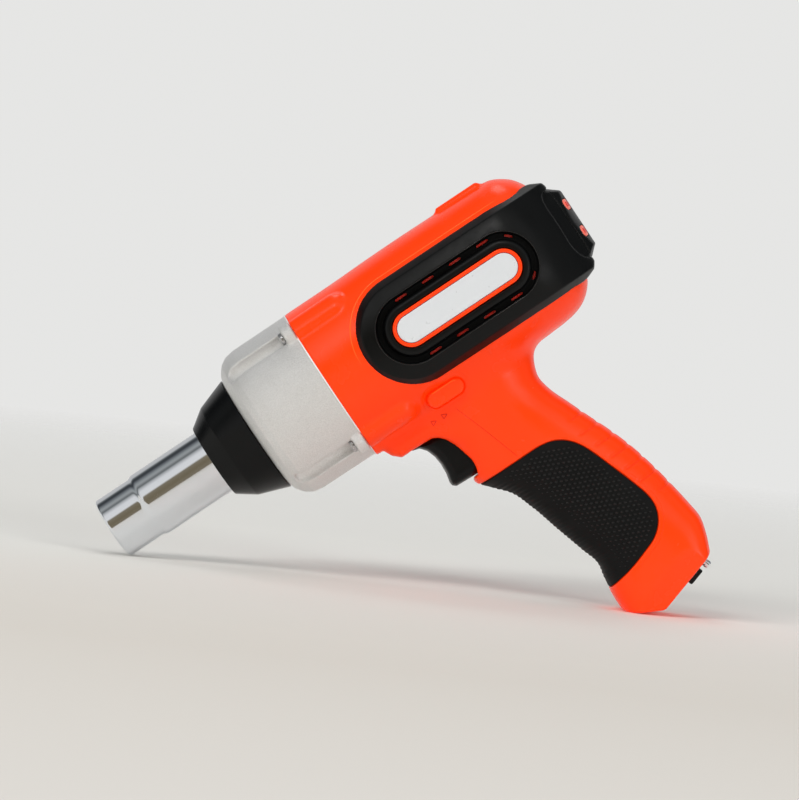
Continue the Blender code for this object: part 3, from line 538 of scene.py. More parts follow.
def tail_radius(x, y):
    """Distance from the dome's centre, counted along X from the tool's front."""
    return TAIL_DOME[0] + np.hypot(x - TAIL_DOME[0], y)


def tail_edge(z):
    """Half width of the domed end face at each height."""
    return TAIL_FLANK[1] - (z - 1.4) ** 2 / 56.0


def tail(x, y, z):
    """The block at the back: leaning flanks and a domed end."""
    flank = (y - tail_edge(z) - TAIL_FLANK[0] + x) * sqrt(0.5)
    turned_in = tail_radius(x, y)
    end = soft_max(polygon(turned_in, z, TAIL_PROFILE), turned_in - TAIL_DOME[0] - TAIL_DOME[1], 0.5)
    return soft_max(flank, end, 0.7)


def tail_slots(y, z, grow):
    """The oval slots in the end face."""
    across = y - np.clip(y, *TAIL_SLOT_Y)
    return np.minimum(*[np.hypot(across, z - m) for m in TAIL_SLOT_Z]) - TAIL_SLOT_RADIUS - grow


def vents(x, z):
    """Short slots along both edges of the channel's floor, and two in its rear bend."""
    field = np.full(np.broadcast(x, z).shape, 1e9, dtype=np.float32)
    reach, half_width = CHANNEL_RADIUS - 1.5, 0.55
    around = radians(48)
    for edge in (-1, 1):
        for k in range(4):
            middle = OVAL[0] + 4.0 + 15.2 * k
            vent = stadium(x, z, middle - 2.8, middle + 2.8, TRIM_Z + edge * reach, half_width)
            field = np.minimum(field, vent)
        across = np.hypot(x - OVAL[1], z - TRIM_Z) - reach
        along = np.abs(np.arctan2(edge * (z - TRIM_Z), x - OVAL[1]) - around) * reach - 1.6
        field = np.minimum(field, np.hypot(np.maximum(along, 0.0), across) - half_width)
    return field


def grip_outline(x, z):
    return polygon(x, z, rounded(GRIP, GRIP_BEND))


def rub(x, z):
    """Height of the grip's serrations along its front edge."""
    wave = 0.5 + 0.5 * np.cos(2 * pi * z / 2.1)
    near = unit((ramp(z, HANDLE, 0) + 7.0 - x) / 3.0)
    return 0.4 * wave * near * unit((z + 152.0) / 4.0) * unit((-82.0 - z) / 4.0)


# ---------------- housing


def housing_outside(x, y, z):
    shape = soft_min(barrel(x, y, z), soft_max(handle(x, y, z), z + 20.0, 4.0), 9.0)
    shape = soft_min(shape, soft_max(polygon(x, z, GUARD), y - 15.5, 6.0), 3.0)
    shape = soft_min(shape, soft_max(bosses(x, y, z), np.hypot(y, z) - 43.4, 3.0), 3.0)
    shape = soft_min(shape, soft_max(polygon(x, z, TOP_PAD), y - 9.0, 3.0), 1.2)
    return soft_max(soft_max(shape, heel(x, y, z), 0.8), below(x, z), 1.2)


def handle_grooves(x, z):
    """Depth of the shallow finger grooves across the back of the handle."""
    back = ramp(z, HANDLE, 1)
    ridges = [bump(z, level, 0.8) * unit((x - back + reach) / 2.5) for level, reach in GROOVES]
    return 0.5 * sum(ridges)


def selector_dish(x, z):
    """Depth of the soft hollow round the direction selector."""
    ring = selector_outline(x, z)
    upper = unit((z - SELECTOR[1]) / SELECTOR_RADIUS) * unit((SELECTOR[0] + 5.0 - x) / 6.0)
    wide = 0.9 * upper * unit(1.0 - ring / 4.5) ** 2
    return (0.5 + 0.1 * upper) * unit(1.15 - ring / 2.2) ** 2 + 0.22 * bump(ring, 1.9, 0.5) + wide


def shade_below(obj, material, height):
    """Gives the faces inside the channel that lie less than height from the middle plane a second finish that looks
    darker: painted shade.
    """
    obj.data.materials.append(material)
    centres = np.empty(len(obj.data.polygons) * 3, dtype=np.float32)
    obj.data.polygons.foreach_get("center", centres)
    seen = (centres.reshape(-1, 3) - np.array(ORIGIN)) @ np.array(TOOL) / MM
    depth = np.abs(seen[:, 1])
    deep = (oval(seen[:, 0], seen[:, 2], CHANNEL_RADIUS) < 0.25) & (depth < height) & (depth > CHANNEL_START)
    obj.data.polygons.foreach_set("material_index", deep.astype(np.int32))


def screw_seat(where):
    """How far from the middle plane a housing screw's head starts."""
    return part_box(f"housing_screw_{where}")[1][1] / MM - SCREW_HEAD


def housing(side, name, paint):
    """One half of the housing, a thin wall with pockets and cut-outs; returned for the lines on its skin."""
    g, x, y, z = grid((122.0, -1.6, -179.0), (259.0, 46.0, 44.5), 0.72)
    shape = true_distance(housing_outside(x, y, z), g.step)
    shape = shape + handle_grooves(x, z) * unit((255 - x) / 4) + selector_dish(x, z)
    # pockets: side panel, its deep channel, the grip
    skin = np.maximum(shape, -np.maximum(trim_outline(x, z) + 1.5, -(shape + 0.9)))
    cup = np.maximum(oval(x, z, CHANNEL_RADIUS + CUP_WALL + GAP), CHANNEL_FLOOR - CUP_WALL - GAP - y)
    skin = np.maximum(skin, -cup)
    skin = np.maximum(skin, -np.maximum(grip_outline(x, z) - GAP, -(shape + GRIP_THICKNESS + GAP)))
    # cut-outs: the finger's opening, the trigger's slot, the selector's tunnel
    skin = cut_from(skin, polygon(x, z, FINGER_CUT), 1.2)
    skin = np.maximum(skin, -np.maximum(y - TRIGGER_HALF_WIDTH - GAP, polygon(x, z, TRIGGER_SLOT)))
    tunnel = selector_outline(x, z) - 0.15
    skin = cut_from(skin, tunnel, 0.4)
    skin = np.maximum(skin, -np.maximum(tunnel - 2.0, y - 13.0))
    hollow = np.maximum(np.maximum(shape + WALL + 0.6, skin + WALL), x - 249.0)
    hollow = np.maximum(hollow, -np.minimum(bosses(x, y, z), tunnel - 1.6))
    solid = np.maximum(skin, -hollow)
    solid = np.maximum(solid, -np.maximum(from_case_screw(y, z) - 1.9, x - 143.0))
    if side > 0:
        for where, (sx, sz) in HOUSING_SCREWS.items():
            well = np.maximum(np.hypot(x - sx, z - sz) - 3.4, screw_seat(where) - GAP - y)
            solid = cut_from(solid, well, 0.8)
    solid = np.maximum(solid, -inlet_holes(x, y, z))
    solid = np.maximum(solid, HOUSING_FRONT - x)
    solid = soft_max(solid, -OVERLAP - y, 0.5)
    obj = moulded(f"{name}_shell", g, solid, paint["orange"], side)
    # the housing's faces inside the channel, behind the vents, take a dark red: painted shade
    shade_below(obj, paint["painted_shade_orange"], CHANNEL_FLOOR)
    declare(obj, name)
    return obj


def end_frame(x, z):
    """Places along and out of the handle's end face."""
    (x0, z0), (ax, az) = END_FACE[0], END_ALONG
    return (x - x0) * ax + (z - z0) * az, (x - x0) * az - (z - z0) * ax


def inlet_holes(x, y, z):
    """The holes for the inlet's block and pin."""
    along, out = end_frame(x, z)
    middle, half_length, half_width = INLET_BLOCK
    block = np.maximum(np.abs(along - middle) - half_length - GAP, y - half_width - GAP)
    pin = np.hypot(along - INLET_PIN[0], y - INLET_PIN[1]) - 1.7 - GAP
    return np.maximum(np.minimum(block, pin), -INLET_DEPTH - out)


def bead(tree, name, path, radius, side, material, closed=False, body="housing", fade=0.4):
    """A fine raised line: a thin rod half sunk in the skin along a path of (x, z) in the side view."""
    centres = []
    for x, z in path:
        hit, normal, _, _ = tree.ray_cast(spot(x, side * 60.0, z), Vector((0, -side, 0)))
        if hit is None or normal.y * side < 0.15:
            continue
        centres.append((hit - normal * radius * MM * 0.45, normal))
    if len(centres) < 3:
        return
    bm = bmesh.new()
    rings = []
    for k, (centre, normal) in enumerate(centres):
        before = centres[k - 1][0] if closed or k else centre
        after = centres[(k + 1) % len(centres)][0] if closed or k + 1 < len(centres) else centre
        across = (after - before).normalized().cross(normal).normalized()
        taper = 1.0 if closed else min(1.0, 0.2 + fade * min(k, len(centres) - 1 - k))
        reach = radius * taper * MM
        rings.append([bm.verts.new(centre + (across * cos(a) + normal * sin(a)) * reach) for a in circle(8)])
    join_rings(bm, rings, closed)
    bmesh.ops.recalc_face_normals(bm, faces=bm.faces)
    declare(link(name, smooth_mesh(name, bm), material), body=body)


def spaced(points, step, closed=False):
    """Points every step millimetres along a polyline."""
    points = [Vector(p) for p in points] + ([Vector(points[0])] if closed else [])
    result = []
    for a, b in zip(points, points[1:]):
        count = max(1, round((b - a).length / step))
        result += [tuple(a.lerp(b, k / count)) for k in range(count)]
    return result if closed else result + [tuple(points[-1])]


def skin_lines(shell, side, hand, paint):
    """Fine moulded lines on one half: round the side panel, below the selector, beside the grip; the panel's line is
    painted highlight, the crease, groove and arrow lines painted shade.
    """
    shade = paint["painted_shade_orange"]
    tree = tree_of(shell)
    reach = TRIM_RADIUS + 1.9
    angles = np.radians(np.linspace(90, 270, 60))[:37]
    arc = [(TRIM_FRONT + reach * cos(a), TRIM_Z + reach * sin(a)) for a in angles]
    line = spaced([(246.0, TRIM_Z + reach), *arc], 1.2)
    # a raised line round the panel's top and front, in light orange: painted highlight
    bead(tree, f"panel_line_highlight_{hand}", line, 0.34, side, paint["orange_painted_highlight"], fade=0.05)
    # a thin dark red line along the crease below the selector: painted shade
    bead(tree, f"seam_shade_line_{hand}", spaced([(168.4, -41.0), (174.0, -56.5), (181.0, -78.4)], 1.0), 0.15, side, shade)
    # a thin dark red line in each finger groove: painted shade
    for number, (level, reach) in enumerate(GROOVES, 1):
        back = float(ramp(np.float32(level), HANDLE, 1))
        line = spaced([(back - 0.5, level - 0.45), (back - reach + 0.8, level - 0.45)], 0.8)
        bead(tree, f"groove_shade_line_{number}_{hand}", line, 0.13, side, shade)
    middle = Vector((196.0, -118.0))
    beside = [Vector(p) for p in rounded(GRIP, GRIP_BEND) if p[0] > 196.0 and p[1] < -112.0]
    beside = [p + (p - middle).normalized() * 2.6 for p in beside]
    bead(tree, f"grip_line_{hand}", spaced(beside, 1.0), 0.24, side, paint["orange"])
    # the arrows are raised lines in dark red standing for their moulded grooves: painted shade
    for number, tip in enumerate((156.7, 162.7), 1):
        mark = spaced([(tip - 1.2, -41.0), (tip + 1.3, -42.2), (tip - 1.2, -43.4)], 0.5, True)
        bead(tree, f"arrow_{number}_{hand}", mark, 0.26, side, paint["orange_mark_painted_shade"], closed=True)


# ---------------- black trim and label


def side_trim(side, name, paint):
    """One side panel with its half of the tail's flank, the channel's cup and the island in it."""
    g, x, y, z = grid((144.0, -1.6, -28.5), (265.5, 43.0, 30.5), 0.6)
    body = true_distance(barrel(x, y, z), g.step)
    outline = trim_outline(x, z)
    shell = chamfered(outline, trim_face(x, y, z), 3.2)
    shell = soft_max(shell, polygon(x, z, PANEL_END), 1.0)
    shell = cut_from(shell, polygon(x, z, VALLEY), 0.5)
    shell = soft_min(shell, tail(x, y, z), 0.8)
    shell = np.maximum(shell, outline)
    shell = np.maximum(shell, -(body + 0.7))
    cup = np.maximum(oval(x, z, CHANNEL_RADIUS + CUP_WALL), CHANNEL_FLOOR - CUP_WALL - y)
    shell = np.minimum(shell, np.maximum(cup, y - 37.0))
    # the channel is all that lies outside the rounded island's top and inside the oval
    island = soft_max(oval(x, z, ISLAND_RADIUS), y - ISLAND_TOP, 2.6)
    channel = soft_max(np.maximum(oval(x, z, CHANNEL_RADIUS), -island), CHANNEL_FLOOR - y, 1.0)
    shell = cut_from(shell, channel, 0.7)
    shell = cut_from(shell, np.maximum(oval(x, z, CARRIER_RADIUS + GAP), 38.0 - y), 0.4)
    shell = np.maximum(shell, -np.maximum(vents(x, z), 30.0 - y))
    shell = np.maximum(shell, -tail_hole(x, y, z))
    shell = soft_max(shell, -OVERLAP - y, 0.4)
    obj = moulded(f"{name}_panel", g, shell, paint["black"], side)
    # the channel's faces below its rim take a duller black: painted shade
    shade_below(obj, paint["black_painted_shade"], CHANNEL_RIM)
    channel_rim(obj, side, paint["edge_black"])
    declare(obj, name)


def channel_rim(panel, side, material):
    """The fine glossy edge along the channel's outer rim."""
    reach = CHANNEL_RADIUS + 0.55
    path = [
        (middle + reach * cos(a), TRIM_Z + reach * sin(a))
        for middle, start in ((OVAL[1], -90), (OVAL[0], 90)) for a in np.radians(np.arange(start, start + 181, 6))
    ]
    name = f"channel_rim_{'left' if side < 0 else 'right'}"
    bead(tree_of(panel), name, spaced(path, 0.9, True), 0.2, side, material, True)


def tail_hole(x, y, z):
    """The opening between the two side panels that the tail cap fills."""
    return np.maximum(np.maximum(y - tail_edge(z), 255.0 - x), np.maximum(z - 21.2, -19.0 - z))


def tail_cap(material):
    """The domed block between the two side panels."""
    g, x, y, z = grid((254.5, -18.8, -20.0), (270.0, 18.8, 23.0), 0.5)
    half = np.abs(y)
    shape = soft_max(tail(x, half, z), half - tail_edge(z) + 0.02, 0.1)
    shape = soft_max(shape, 256.4 - x, 0.4)
    shape = cut_from(shape, tail_slots(half, z, 0.0), 0.7)
    declare(moulded("tail_cap_block", g, shape, material), "tail_cap")


def tail_inserts(pale, deep):
    """The housing's orange tongues that fill the tail's slots, and on each a darker orange block that stands for the
    slot's shadowed hollow: painted shade.
    """
    centre, dome = TAIL_DOME
    for middle, level in zip(TAIL_SLOT_Z, ("lower", "upper")):
        corners = [(8.2, middle - 1.3), (12.2, middle - 1.3), (12.2, middle + 1.3), (8.2, middle + 1.3)]
        outline = rounded(corners, 0.25, 2)
        for side, hand in SIDES:
            g, x, y, z = grid((256.0, 4.4, middle - 3.9), (268.8, 15.0, middle + 3.9), 0.3)
            shape = soft_max(tail_slots(y, z, -0.22), tail_radius(x, y) - centre - dome - 0.05, 0.6)
            shape = soft_max(shape, 257.0 - x, 0.5)
            declare(moulded(f"tail_insert_{hand}_{level}", g, shape, pale, side))
            root = [(258.0, side * y, z) for y, z in outline]
            top = [(centre + sqrt(dome ** 2 - y * y) + 0.35, side * y, z) for y, z in outline]
            key = ring_mesh(f"tail_slot_shade_{hand}_{level}", [root, top], deep, closed=False)
            declare(key)


def stadium_sweep(name, profile, side, material, closed=True):
    """A (radius, distance from the middle plane) profile swept round the label's stadium."""
    first, last = OVAL
    bends = [(x, radians(a)) for x, start in ((last, -90), (first, 90)) for a in np.linspace(start, start + 180, 19)]
    path = []
    for (x, a), (following, _) in zip(bends, bends[1:] + bends[:1]):
        path.append((x, a))
        if following != x:
            path += [(x + (following - x) * s, a) for s in np.linspace(0, 1, 10)[1:-1]]
    rings = [
        [(x + radius * cos(a), side * distance, TRIM_Z + radius * sin(a)) for x, a in path]
        for radius, distance in profile
    ]
    return ring_mesh(name, rings, material, closed)


def label(side, hand, paint):
    """The orange ring on the island, and the silver plate inside it."""
    inner = LABEL_RADIUS + 0.25
    ring = [(inner, 38.4), (CARRIER_RADIUS, 38.4), (CARRIER_RADIUS, 40.9), (inner, 40.5)]
    ring = rounded(ring, [0.2, 0.2, 0.9, 0.7], 5)
    carrier = stadium_sweep(f"label_ring_{hand}", ring, side, paint["orange"])
    declare(carrier, f"label_carrier_{hand}")
    plate = [(LABEL_RADIUS, 39.2), (LABEL_RADIUS, 40.1), (LABEL_RADIUS - 0.3, 40.3)]
    plate = stadium_sweep(f"label_face_{hand}", plate, side, paint["label"], closed=False)
    declare(plate, f"label_plate_{hand}")


# ---------------- grip


def grip(paint):
    """The rubber over the handle's front and sides, in its pocket."""
    g, x, y, z = grid((154.0, -20.5, -158.0), (226.0, 20.5, -76.0), 0.55)
    half = np.abs(y)
    shape = true_distance(handle(x, half, z), g.step) - rub(x, z)
    pad = soft_max(np.maximum(shape, -(shape + GRIP_THICKNESS)), grip_outline(x, z), 0.9)
    obj = moulded("grip_cover", g, pad, paint["rubber"])
    declare(obj, "grip")
    dots(obj, paint["studs"])


def dots(cover, material):
    """Small round studs on a diagonal grid over the grip's sides, smaller towards the trigger; their paler rubber is
    painted highlight.
    """
    tree = tree_of(cover)
    bm = bmesh.new()
    pitch, radius, height, margin = 2.45, 0.58, 0.42, 8.5
    lean = radians(24)
    across = Vector((cos(lean), -sin(lean)))
    down = Vector((-sin(lean), -cos(lean)))
    for side, i, j in product((-1, 1), range(-16, 20), range(-4, 38)):
        x, z = Vector((190.0, -84.0)) + across * (i + 0.5 * (j % 2)) * pitch + down * j * pitch * 0.87
        if float(grip_outline(np.float32(x), np.float32(z))) > -2.6:
            continue
        front = float(ramp(np.float32(z), HANDLE, 0))
        if x < front + margin:
            continue
        share = min(1.0, 0.5 + (x - front - margin) / 18.0)
        start, beside = spot(x, side * 30.0, z), spot(x + across.x, side * 30.0, z + across.y)
        hit, normal, _, _ = tree.ray_cast(start, Vector((0, -side, 0)))
        if hit is not None:
            add_stud(bm, hit, normal, (beside - start).normalized(), radius * share * MM, height * share * MM)
    declare(link("grip_studs", smooth_mesh("grip_studs", bm), material))


def add_stud(bm, centre, normal, along, radius, height):
    """A low oval dome that stands on the surface, longer along the row, and closed underneath."""
    short = normal.cross(along).normalized()
    turn = Matrix((short.cross(normal).normalized(), short, normal)).transposed()
    rings = []
    for share, level in ((1.0, -0.35), (1.0, 0.15), (0.75, 0.7), (0.35, 0.95)):
        r, h = radius * share, height * level
        ring = [Vector((1.3 * r * cos(a), 0.8 * r * sin(a), h)) for a in circle(8)]
        rings.append([bm.verts.new(centre + turn @ p) for p in ring])
    join_rings(bm, rings, closed=False)


# ---------------- gear case, nose, socket, screws


def gear_case(paint):
    """The casting with its four screw channels and ears, and the bright edge where it meets the housing: a cut metal
    edge whose near-white colour is partly painted highlight.
    """
    g, x, y, z = grid((64.5, -47.0, -47.0), (127.0, 47.0, 47.0), 0.75)
    around = from_case_screw(np.abs(y), z)
    groove = soft_max(soft_max(around - 4.2, x - EAR_FRONT, 0.8), 87.5 - x, 3.0)
    shape = cut_from(revolved(x, np.hypot(y, z), CASE_PROFILE), groove, 0.9)
    ear = soft_max(around - BOSS_RADIUS, np.maximum(EAR_FRONT - x, x - CASE_BACK), 0.5)
    shape = np.maximum(soft_min(shape, ear, 0.6), -(around - 2.0))
    obj = moulded("gear_case_casting", g, shape, paint["casting"])
    declare(obj, "gear_case")
    edge = rounded([(124.85, 38.4), (124.85, 39.5), (125.5, 39.62), (125.5, 38.4)], [0.1, 0.1, 0.15, 0.1])
    declare(turned("gear_case_joint", edge, paint["machined_highlight"], 192))


def revolved(x, r, profile):
    """Signed distance to an (x, radius) outline turned about the drive axis."""
    step = 0.25
    fine_x, fine_r = x[:, 0, 0], np.arange(0.0, 70.0, step, dtype=np.float32)
    table = polygon(fine_x[:, None], fine_r[None, :], profile)
    k = np.clip(r / step, 0, len(fine_r) - 2)
    low = k.astype(np.int64)
    t = (k - low).astype(np.float32)
    rows = np.arange(len(fine_x))[:, None, None]
    return table[rows, low] * (1 - t) + table[rows, low + 1] * t


def six_sided(angles, apothem):
    """Radius of a hexagon whose flats face along Y."""
    return apothem / np.cos((angles + pi / 6) % (pi / 3) - pi / 6)


def case_screws(paint):
    """Screws in the casting's four channels, with a hexagon recess in each head."""
    seat = CASE_SCREW_SEAT
    recess = [(seat - 0.6, 0.02), (seat - 0.6, 1.35), (seat - 1.7, 1.5)]
    head = rounded([(seat - 1.9, 1.8), (seat - 1.9, 3.0), (seat - 1.4, 3.5), (seat, 3.5)], [0.1, 0.3, 0.3, 0.15])
    shank = [(seat, 1.55), (140.0, 1.55), (141.6, 0.6), (141.6, 0.02)]

    def hexed(x, radius, angles):
        return six_sided(angles, radius * 0.95) if radius < 1.5 else np.full_like(angles, radius)

    axes = [(s * BOSS_Y, t * BOSS_Z) for t in (-1, 1) for s in (-1, 1)]
    for number in range(1, 5):
        low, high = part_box(f"case_screw_{number}")
        middle = (Vector(low) + Vector(high)) / 2
        axis = min(axes, key=lambda p: (spot(130.0, *p) - middle).length)
        screw = turned(f"case_bolt_{number}", recess + head + shank, paint["steel"], 48, hexed, axis)
        declare(screw, f"case_screw_{number}")


def nose(paint):
    """The black cone round the socket's root."""
    profile = held(rounded(NOSE_PROFILE, [0.3, 0.5, 0.5, 0.4, 0.2, 0.2, 0.3], 5))
    ring = turned("nose_collar", profile, paint["gloss_black"], 160, sharp=40)
    declare(ring, "nose_ring")


def socket(paint):
    """The chrome socket: a 21 mm hexagon in the mouth, a 23 mm one at the drive's end, and the drive's square."""
    mouth, rear, square = 1, 2, 3  # stand in the profile for the radius of a bore that isn't round

    def hexagon(flats, angles):
        """Radius of a hexagon with flats above and below, its corners eased."""
        return np.minimum(six_sided(angles - pi / 6, flats / 2), flats / 2 / cos(pi / 6) - 0.35)

    def shape(x, key, angles):
        """Radius at a profile point; a negative key is the flats of a hexagon with a round lead-in."""
        if key == square:
            return np.minimum(DRIVE_HALF / np.maximum(np.abs(np.cos(angles)), np.abs(np.sin(angles))), 8.4)
        if key in (mouth, rear):
            return hexagon(MOUTH_FLATS if key == mouth else REAR_FLATS, angles)
        if key < 0:
            return np.maximum(hexagon(-key, angles), -key / 2 + 0.9)
        return np.full_like(angles, key)

    outside = held(rounded(SOCKET_STEPS, [0.35, 0.5, 0.9, 0.9, 0.5, 0.3], 5))[:-1]
    bores = [
        (78.0, 14.2), (77.3, -23.6), (76.4, rear), (50.2, rear), (50.0, 9.4), (50.0, square), (27.0, square),
        (27.0, 9.2), (26.8, mouth), (1.3, mouth),
    ]
    profile = [(0.25, -21.9), (0.0, 13.2), *outside, *bores]
    obj = turned("socket_double", profile, paint["chrome"], 192, shape, sharp=34)
    declare(obj, "socket", "socket")


def housing_screws(paint):
    """Screws across the halves, with a cross recess in each head."""
    angles = circle(40)
    cross = 1.0 - 0.55 * np.abs(np.sin(2 * angles))
    for where, (sx, sz) in HOUSING_SCREWS.items():
        seat = screw_seat(where)
        head = rounded([(seat, 3.0), (seat + 2.0, 3.0), (seat + 2.3, 1.5)], [0.1, 0.7, 0.1])
        profile = [(-9.0, 0.02), (-9.0, 0.6), (-8.0, 1.4), (seat, 1.4), *head, (seat + 1.1, 1.1), (seat + 1.1, 0.02)]
        rings = []
        for y, radius in profile:
            r = radius * (cross if y > seat and radius < 1.2 else np.ones(40))
            rings.append(np.stack([sx + r * np.cos(angles), np.full(40, y), sz + r * np.sin(angles)], axis=1))
        screw = ring_mesh(f"cover_screw_{where}", rings, paint["dark_steel"])
        declare(screw, f"housing_screw_{where}")


# ---------------- controls and inlet


def trigger(paint):
    """The trigger's paddle: a side outline, crowned across."""
    g, x, y, z = grid((138.0, -12.5, -76.5), (169.5, 12.5, -46.0), 0.5)
    shape = soft_max(polygon(x, z, TRIGGER) + 0.016 * y ** 2, np.abs(y) - TRIGGER_HALF_WIDTH, 3.2)
    declare(moulded("trigger_paddle", g, shape, paint["black"]), "trigger", "trigger")


def selector(paint):
    """The bar through both halves, wider between them, with a painted highlight line along its upper edge."""
    half_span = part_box("direction_selector")[1][1] / MM
    g, x, y, z = grid((156.5, -half_span - 2, -41.0), (181.5, half_span + 2, -26.0), 0.5)
    outline = selector_outline(x, z)
    shape = soft_max(outline, np.abs(y) - half_span, 1.5)
    shape = np.minimum(shape, np.maximum(outline - 1.5, np.abs(y) - 9.0))
    obj = moulded("direction_bar", g, shape, paint["orange"])
    declare(obj, "direction_selector", "selector")
    tree = tree_of(obj)
    front, back = SELECTOR[0] - SELECTOR_REACH, SELECTOR[0] + SELECTOR_REACH
    high = SELECTOR[1] + SELECTOR_RADIUS - 1.0
    path = spaced([(front - 1.5, high - 0.5), (front, high), (back, high), (back + 2.6, high - 1.2)], 0.8)
    for side, hand in SIDES:
        bead(tree, f"direction_edge_highlight_{hand}", path, 0.34, side, paint["orange_painted_highlight"], body="selector", fade=0.2)


def springs(paint):
    """The two compression springs, each a coil of wire between its ends along X."""
    for joint_name, name, span, radius, wire, turns, level, finish in SPRINGS:
        joint = next(j for j in frame["record"]["behaviour"]["joints"] if j["name"] == joint_name)
        fixed = joint["deforming_nodes"][0]
        length = span[1] - span[0]
        rings = []
        for k in range(turns * 24 + 1):
            angle = 2 * pi * k / 24
            middle = span[0] + wire + (length - 2 * wire) * k / (turns * 24)
            around = [(middle + wire * sin(a), radius + wire * cos(a)) for a in circle(10)]
            rings.append([(x, r * cos(angle), level + r * sin(angle)) for x, r in around])
        obj = ring_mesh(name, rings, paint[finish], closed=False, sharp=50)
        declare(obj, fixed["node"])
        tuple(joint["axis"])
        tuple(fixed["fixed_end_m"])
        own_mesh(obj)


def end_face_points(points):
    """(along, across, out) on the handle's end face to tool axes."""
    (x0, z0), (ax, az) = END_FACE[0], END_ALONG
    return [(x0 + a * ax + o * az, y, z0 + a * az - o * ax) for a, y, o in points]


def inlet(paint):
    """The block on the handle's end face and the two contact pins beside it."""
    middle, half_length, half_width = INLET_BLOCK
    rings = []
    for out, inset in ((-11.8, 0.0), (2.4, 0.0), (2.9, 0.2), (3.1, 0.7)):
        low, high, half = middle - half_length + inset, middle + half_length - inset, half_width - inset
        outline = rounded([(low, -half), (high, -half), (high, half), (low, half)], 0.9, 5)
        rings.append(end_face_points([(a, y, out) for a, y in outline]))
    block = ring_mesh("inlet_key", rings, paint["black"], closed=False)
    declare(block, "inlet_block")
    steps = ((-11.8, 1.7), (1.2, 1.7), (1.3, 1.4), (1.7, 1.4), (1.8, 1.9), (3.2, 1.9), (3.6, 1.6), (3.8, 0.9))
    along, across = INLET_PIN
    for side, hand in SIDES:
        rings = [
            end_face_points([(along + r * cos(a), side * across + r * sin(a), out) for a in circle(32)])
            for out, r in steps
        ]
        pin = ring_mesh(f"inlet_contact_{hand}", rings, paint["chrome"], closed=False)
        declare(pin, f"inlet_pin_{hand}")


# ---------------- materials


class Nodes:
    """Short-hand for a material's node tree; sizes are in millimetres of object space."""

    def __init__(self, name, **shader):
        self.material = bpy.data.materials.new(name)
        self.material.use_nodes = True
        self.tree = self.material.node_tree
        self.shader = self.tree.nodes["Principled BSDF"]
        for key, value in shader.items():
            value = (*value, 1.0) if isinstance(value, tuple) else value
            self.shader.inputs[key.replace("_", " ")].default_value = value
        self.coordinates = self.add("ShaderNodeTexCoord").outputs["Object"]

    def add(self, kind, inputs=None, **values):
        """A new node, with constants for its inputs and values for its other properties."""
        node = self.tree.nodes.new(kind)
        for key, value in values.items():
            setattr(node, key, value)
        for key, value in (inputs or {}).items():
            node.inputs[key].default_value = value
        return node

    def wire(self, output, socket_):
        self.tree.links.new(output, socket_)

    def noise(self, size, detail=2.0, rough=0.5, stretch=None):
        """Noise between 0 and 1 with features of about size millimetres."""
        source = self.coordinates
        if stretch:
            lean = (0.0, atan2(ALONG.z, ALONG.x), 0.0)
            turn = self.add("ShaderNodeMapping", {"Rotation": lean, "Scale": stretch})
            self.wire(source, turn.inputs["Vector"])
            source = turn.outputs["Vector"]
        node = self.add("ShaderNodeTexNoise", {"Scale": 1000.0 / size, "Detail": detail, "Roughness": rough})
        self.wire(source, node.inputs["Vector"])
        return node.outputs["Fac"]

    def remap(self, value, low, high, start=0.3, end=0.7):
        ends = {"From Min": start, "From Max": end, "To Min": low, "To Max": high}
        node = self.add("ShaderNodeMapRange", ends)
        self.wire(value, node.inputs["Value"])
        return node.outputs["Result"]

    def colour(self, value, first, second):
        node = self.add("ShaderNodeMix", {"A": (*first, 1.0), "B": (*second, 1.0)}, data_type="RGBA")
        self.wire(value, node.inputs["Factor"])
        self.wire(node.outputs["Result"], self.shader.inputs["Base Color"])

    def relief(self, value, depth):
        """A bump of that depth in millimetres."""
        node = self.add("ShaderNodeBump", {"Distance": depth * MM})
        self.wire(value, node.inputs["Height"])
        self.wire(node.outputs["Normal"], self.shader.inputs["Normal"])


def finish(name, colour, rough, relief, **shader):
    """A material that varies with noise: colour (noise, dark, light), rough (noise, low, high), relief (noise, depth).

    A noise is (size in millimetres, detail, roughness, stretch), of which the last two may be left out.
    """
    n = Nodes(name, **shader)
    n.colour(n.noise(*colour[0]), *colour[1:])
    n.wire(n.remap(n.noise(*rough[0]), *rough[1:]), n.shader.inputs["Roughness"])
    n.relief(n.noise(*relief[0]), relief[1])
    return n.material


def orange_plastic(name, dark, light, glow):
    """Fluorescent plastic: a faint glow of its own colour is painted light that brightens it under any lamp."""
    return finish(
        name, ((45.0, 1.0), dark, light), ((14.0, 3.0), 0.20, 0.29), ((0.9, 2.0), 0.008),
        Specular_IOR_Level=0.27, Emission_Color=light, Emission_Strength=glow,
    )


def black_plastic(name, low, high, grain, shine):
    tones = (0.0016, 0.0018, 0.0019), (0.0034, 0.0037, 0.0038)
    return finish(
        name, ((20.0, 3.0), *tones), ((8.0, 4.0), low, high), ((0.5, 2.0), grain), Specular_IOR_Level=shine,
    )


def rubber(name, low, high, shine, paler):
    tones = [tuple(paler * c for c in tone) for tone in ((0.0026, 0.0028, 0.0029), (0.0048, 0.0051, 0.0052))]
    return finish(
        name, ((12.0, 4.0), *tones), ((5.0, 4.0), low, high), ((0.4, 3.0), 0.02), Specular_IOR_Level=shine,
    )


def metal(name, dark, light, low, high, metallic=1.0):
    return finish(
        name, ((3.0, 5.0, 0.65), dark, light), ((1.5, 4.0), low, high), ((0.5, 3.0), 0.015), Metallic=metallic,
    )


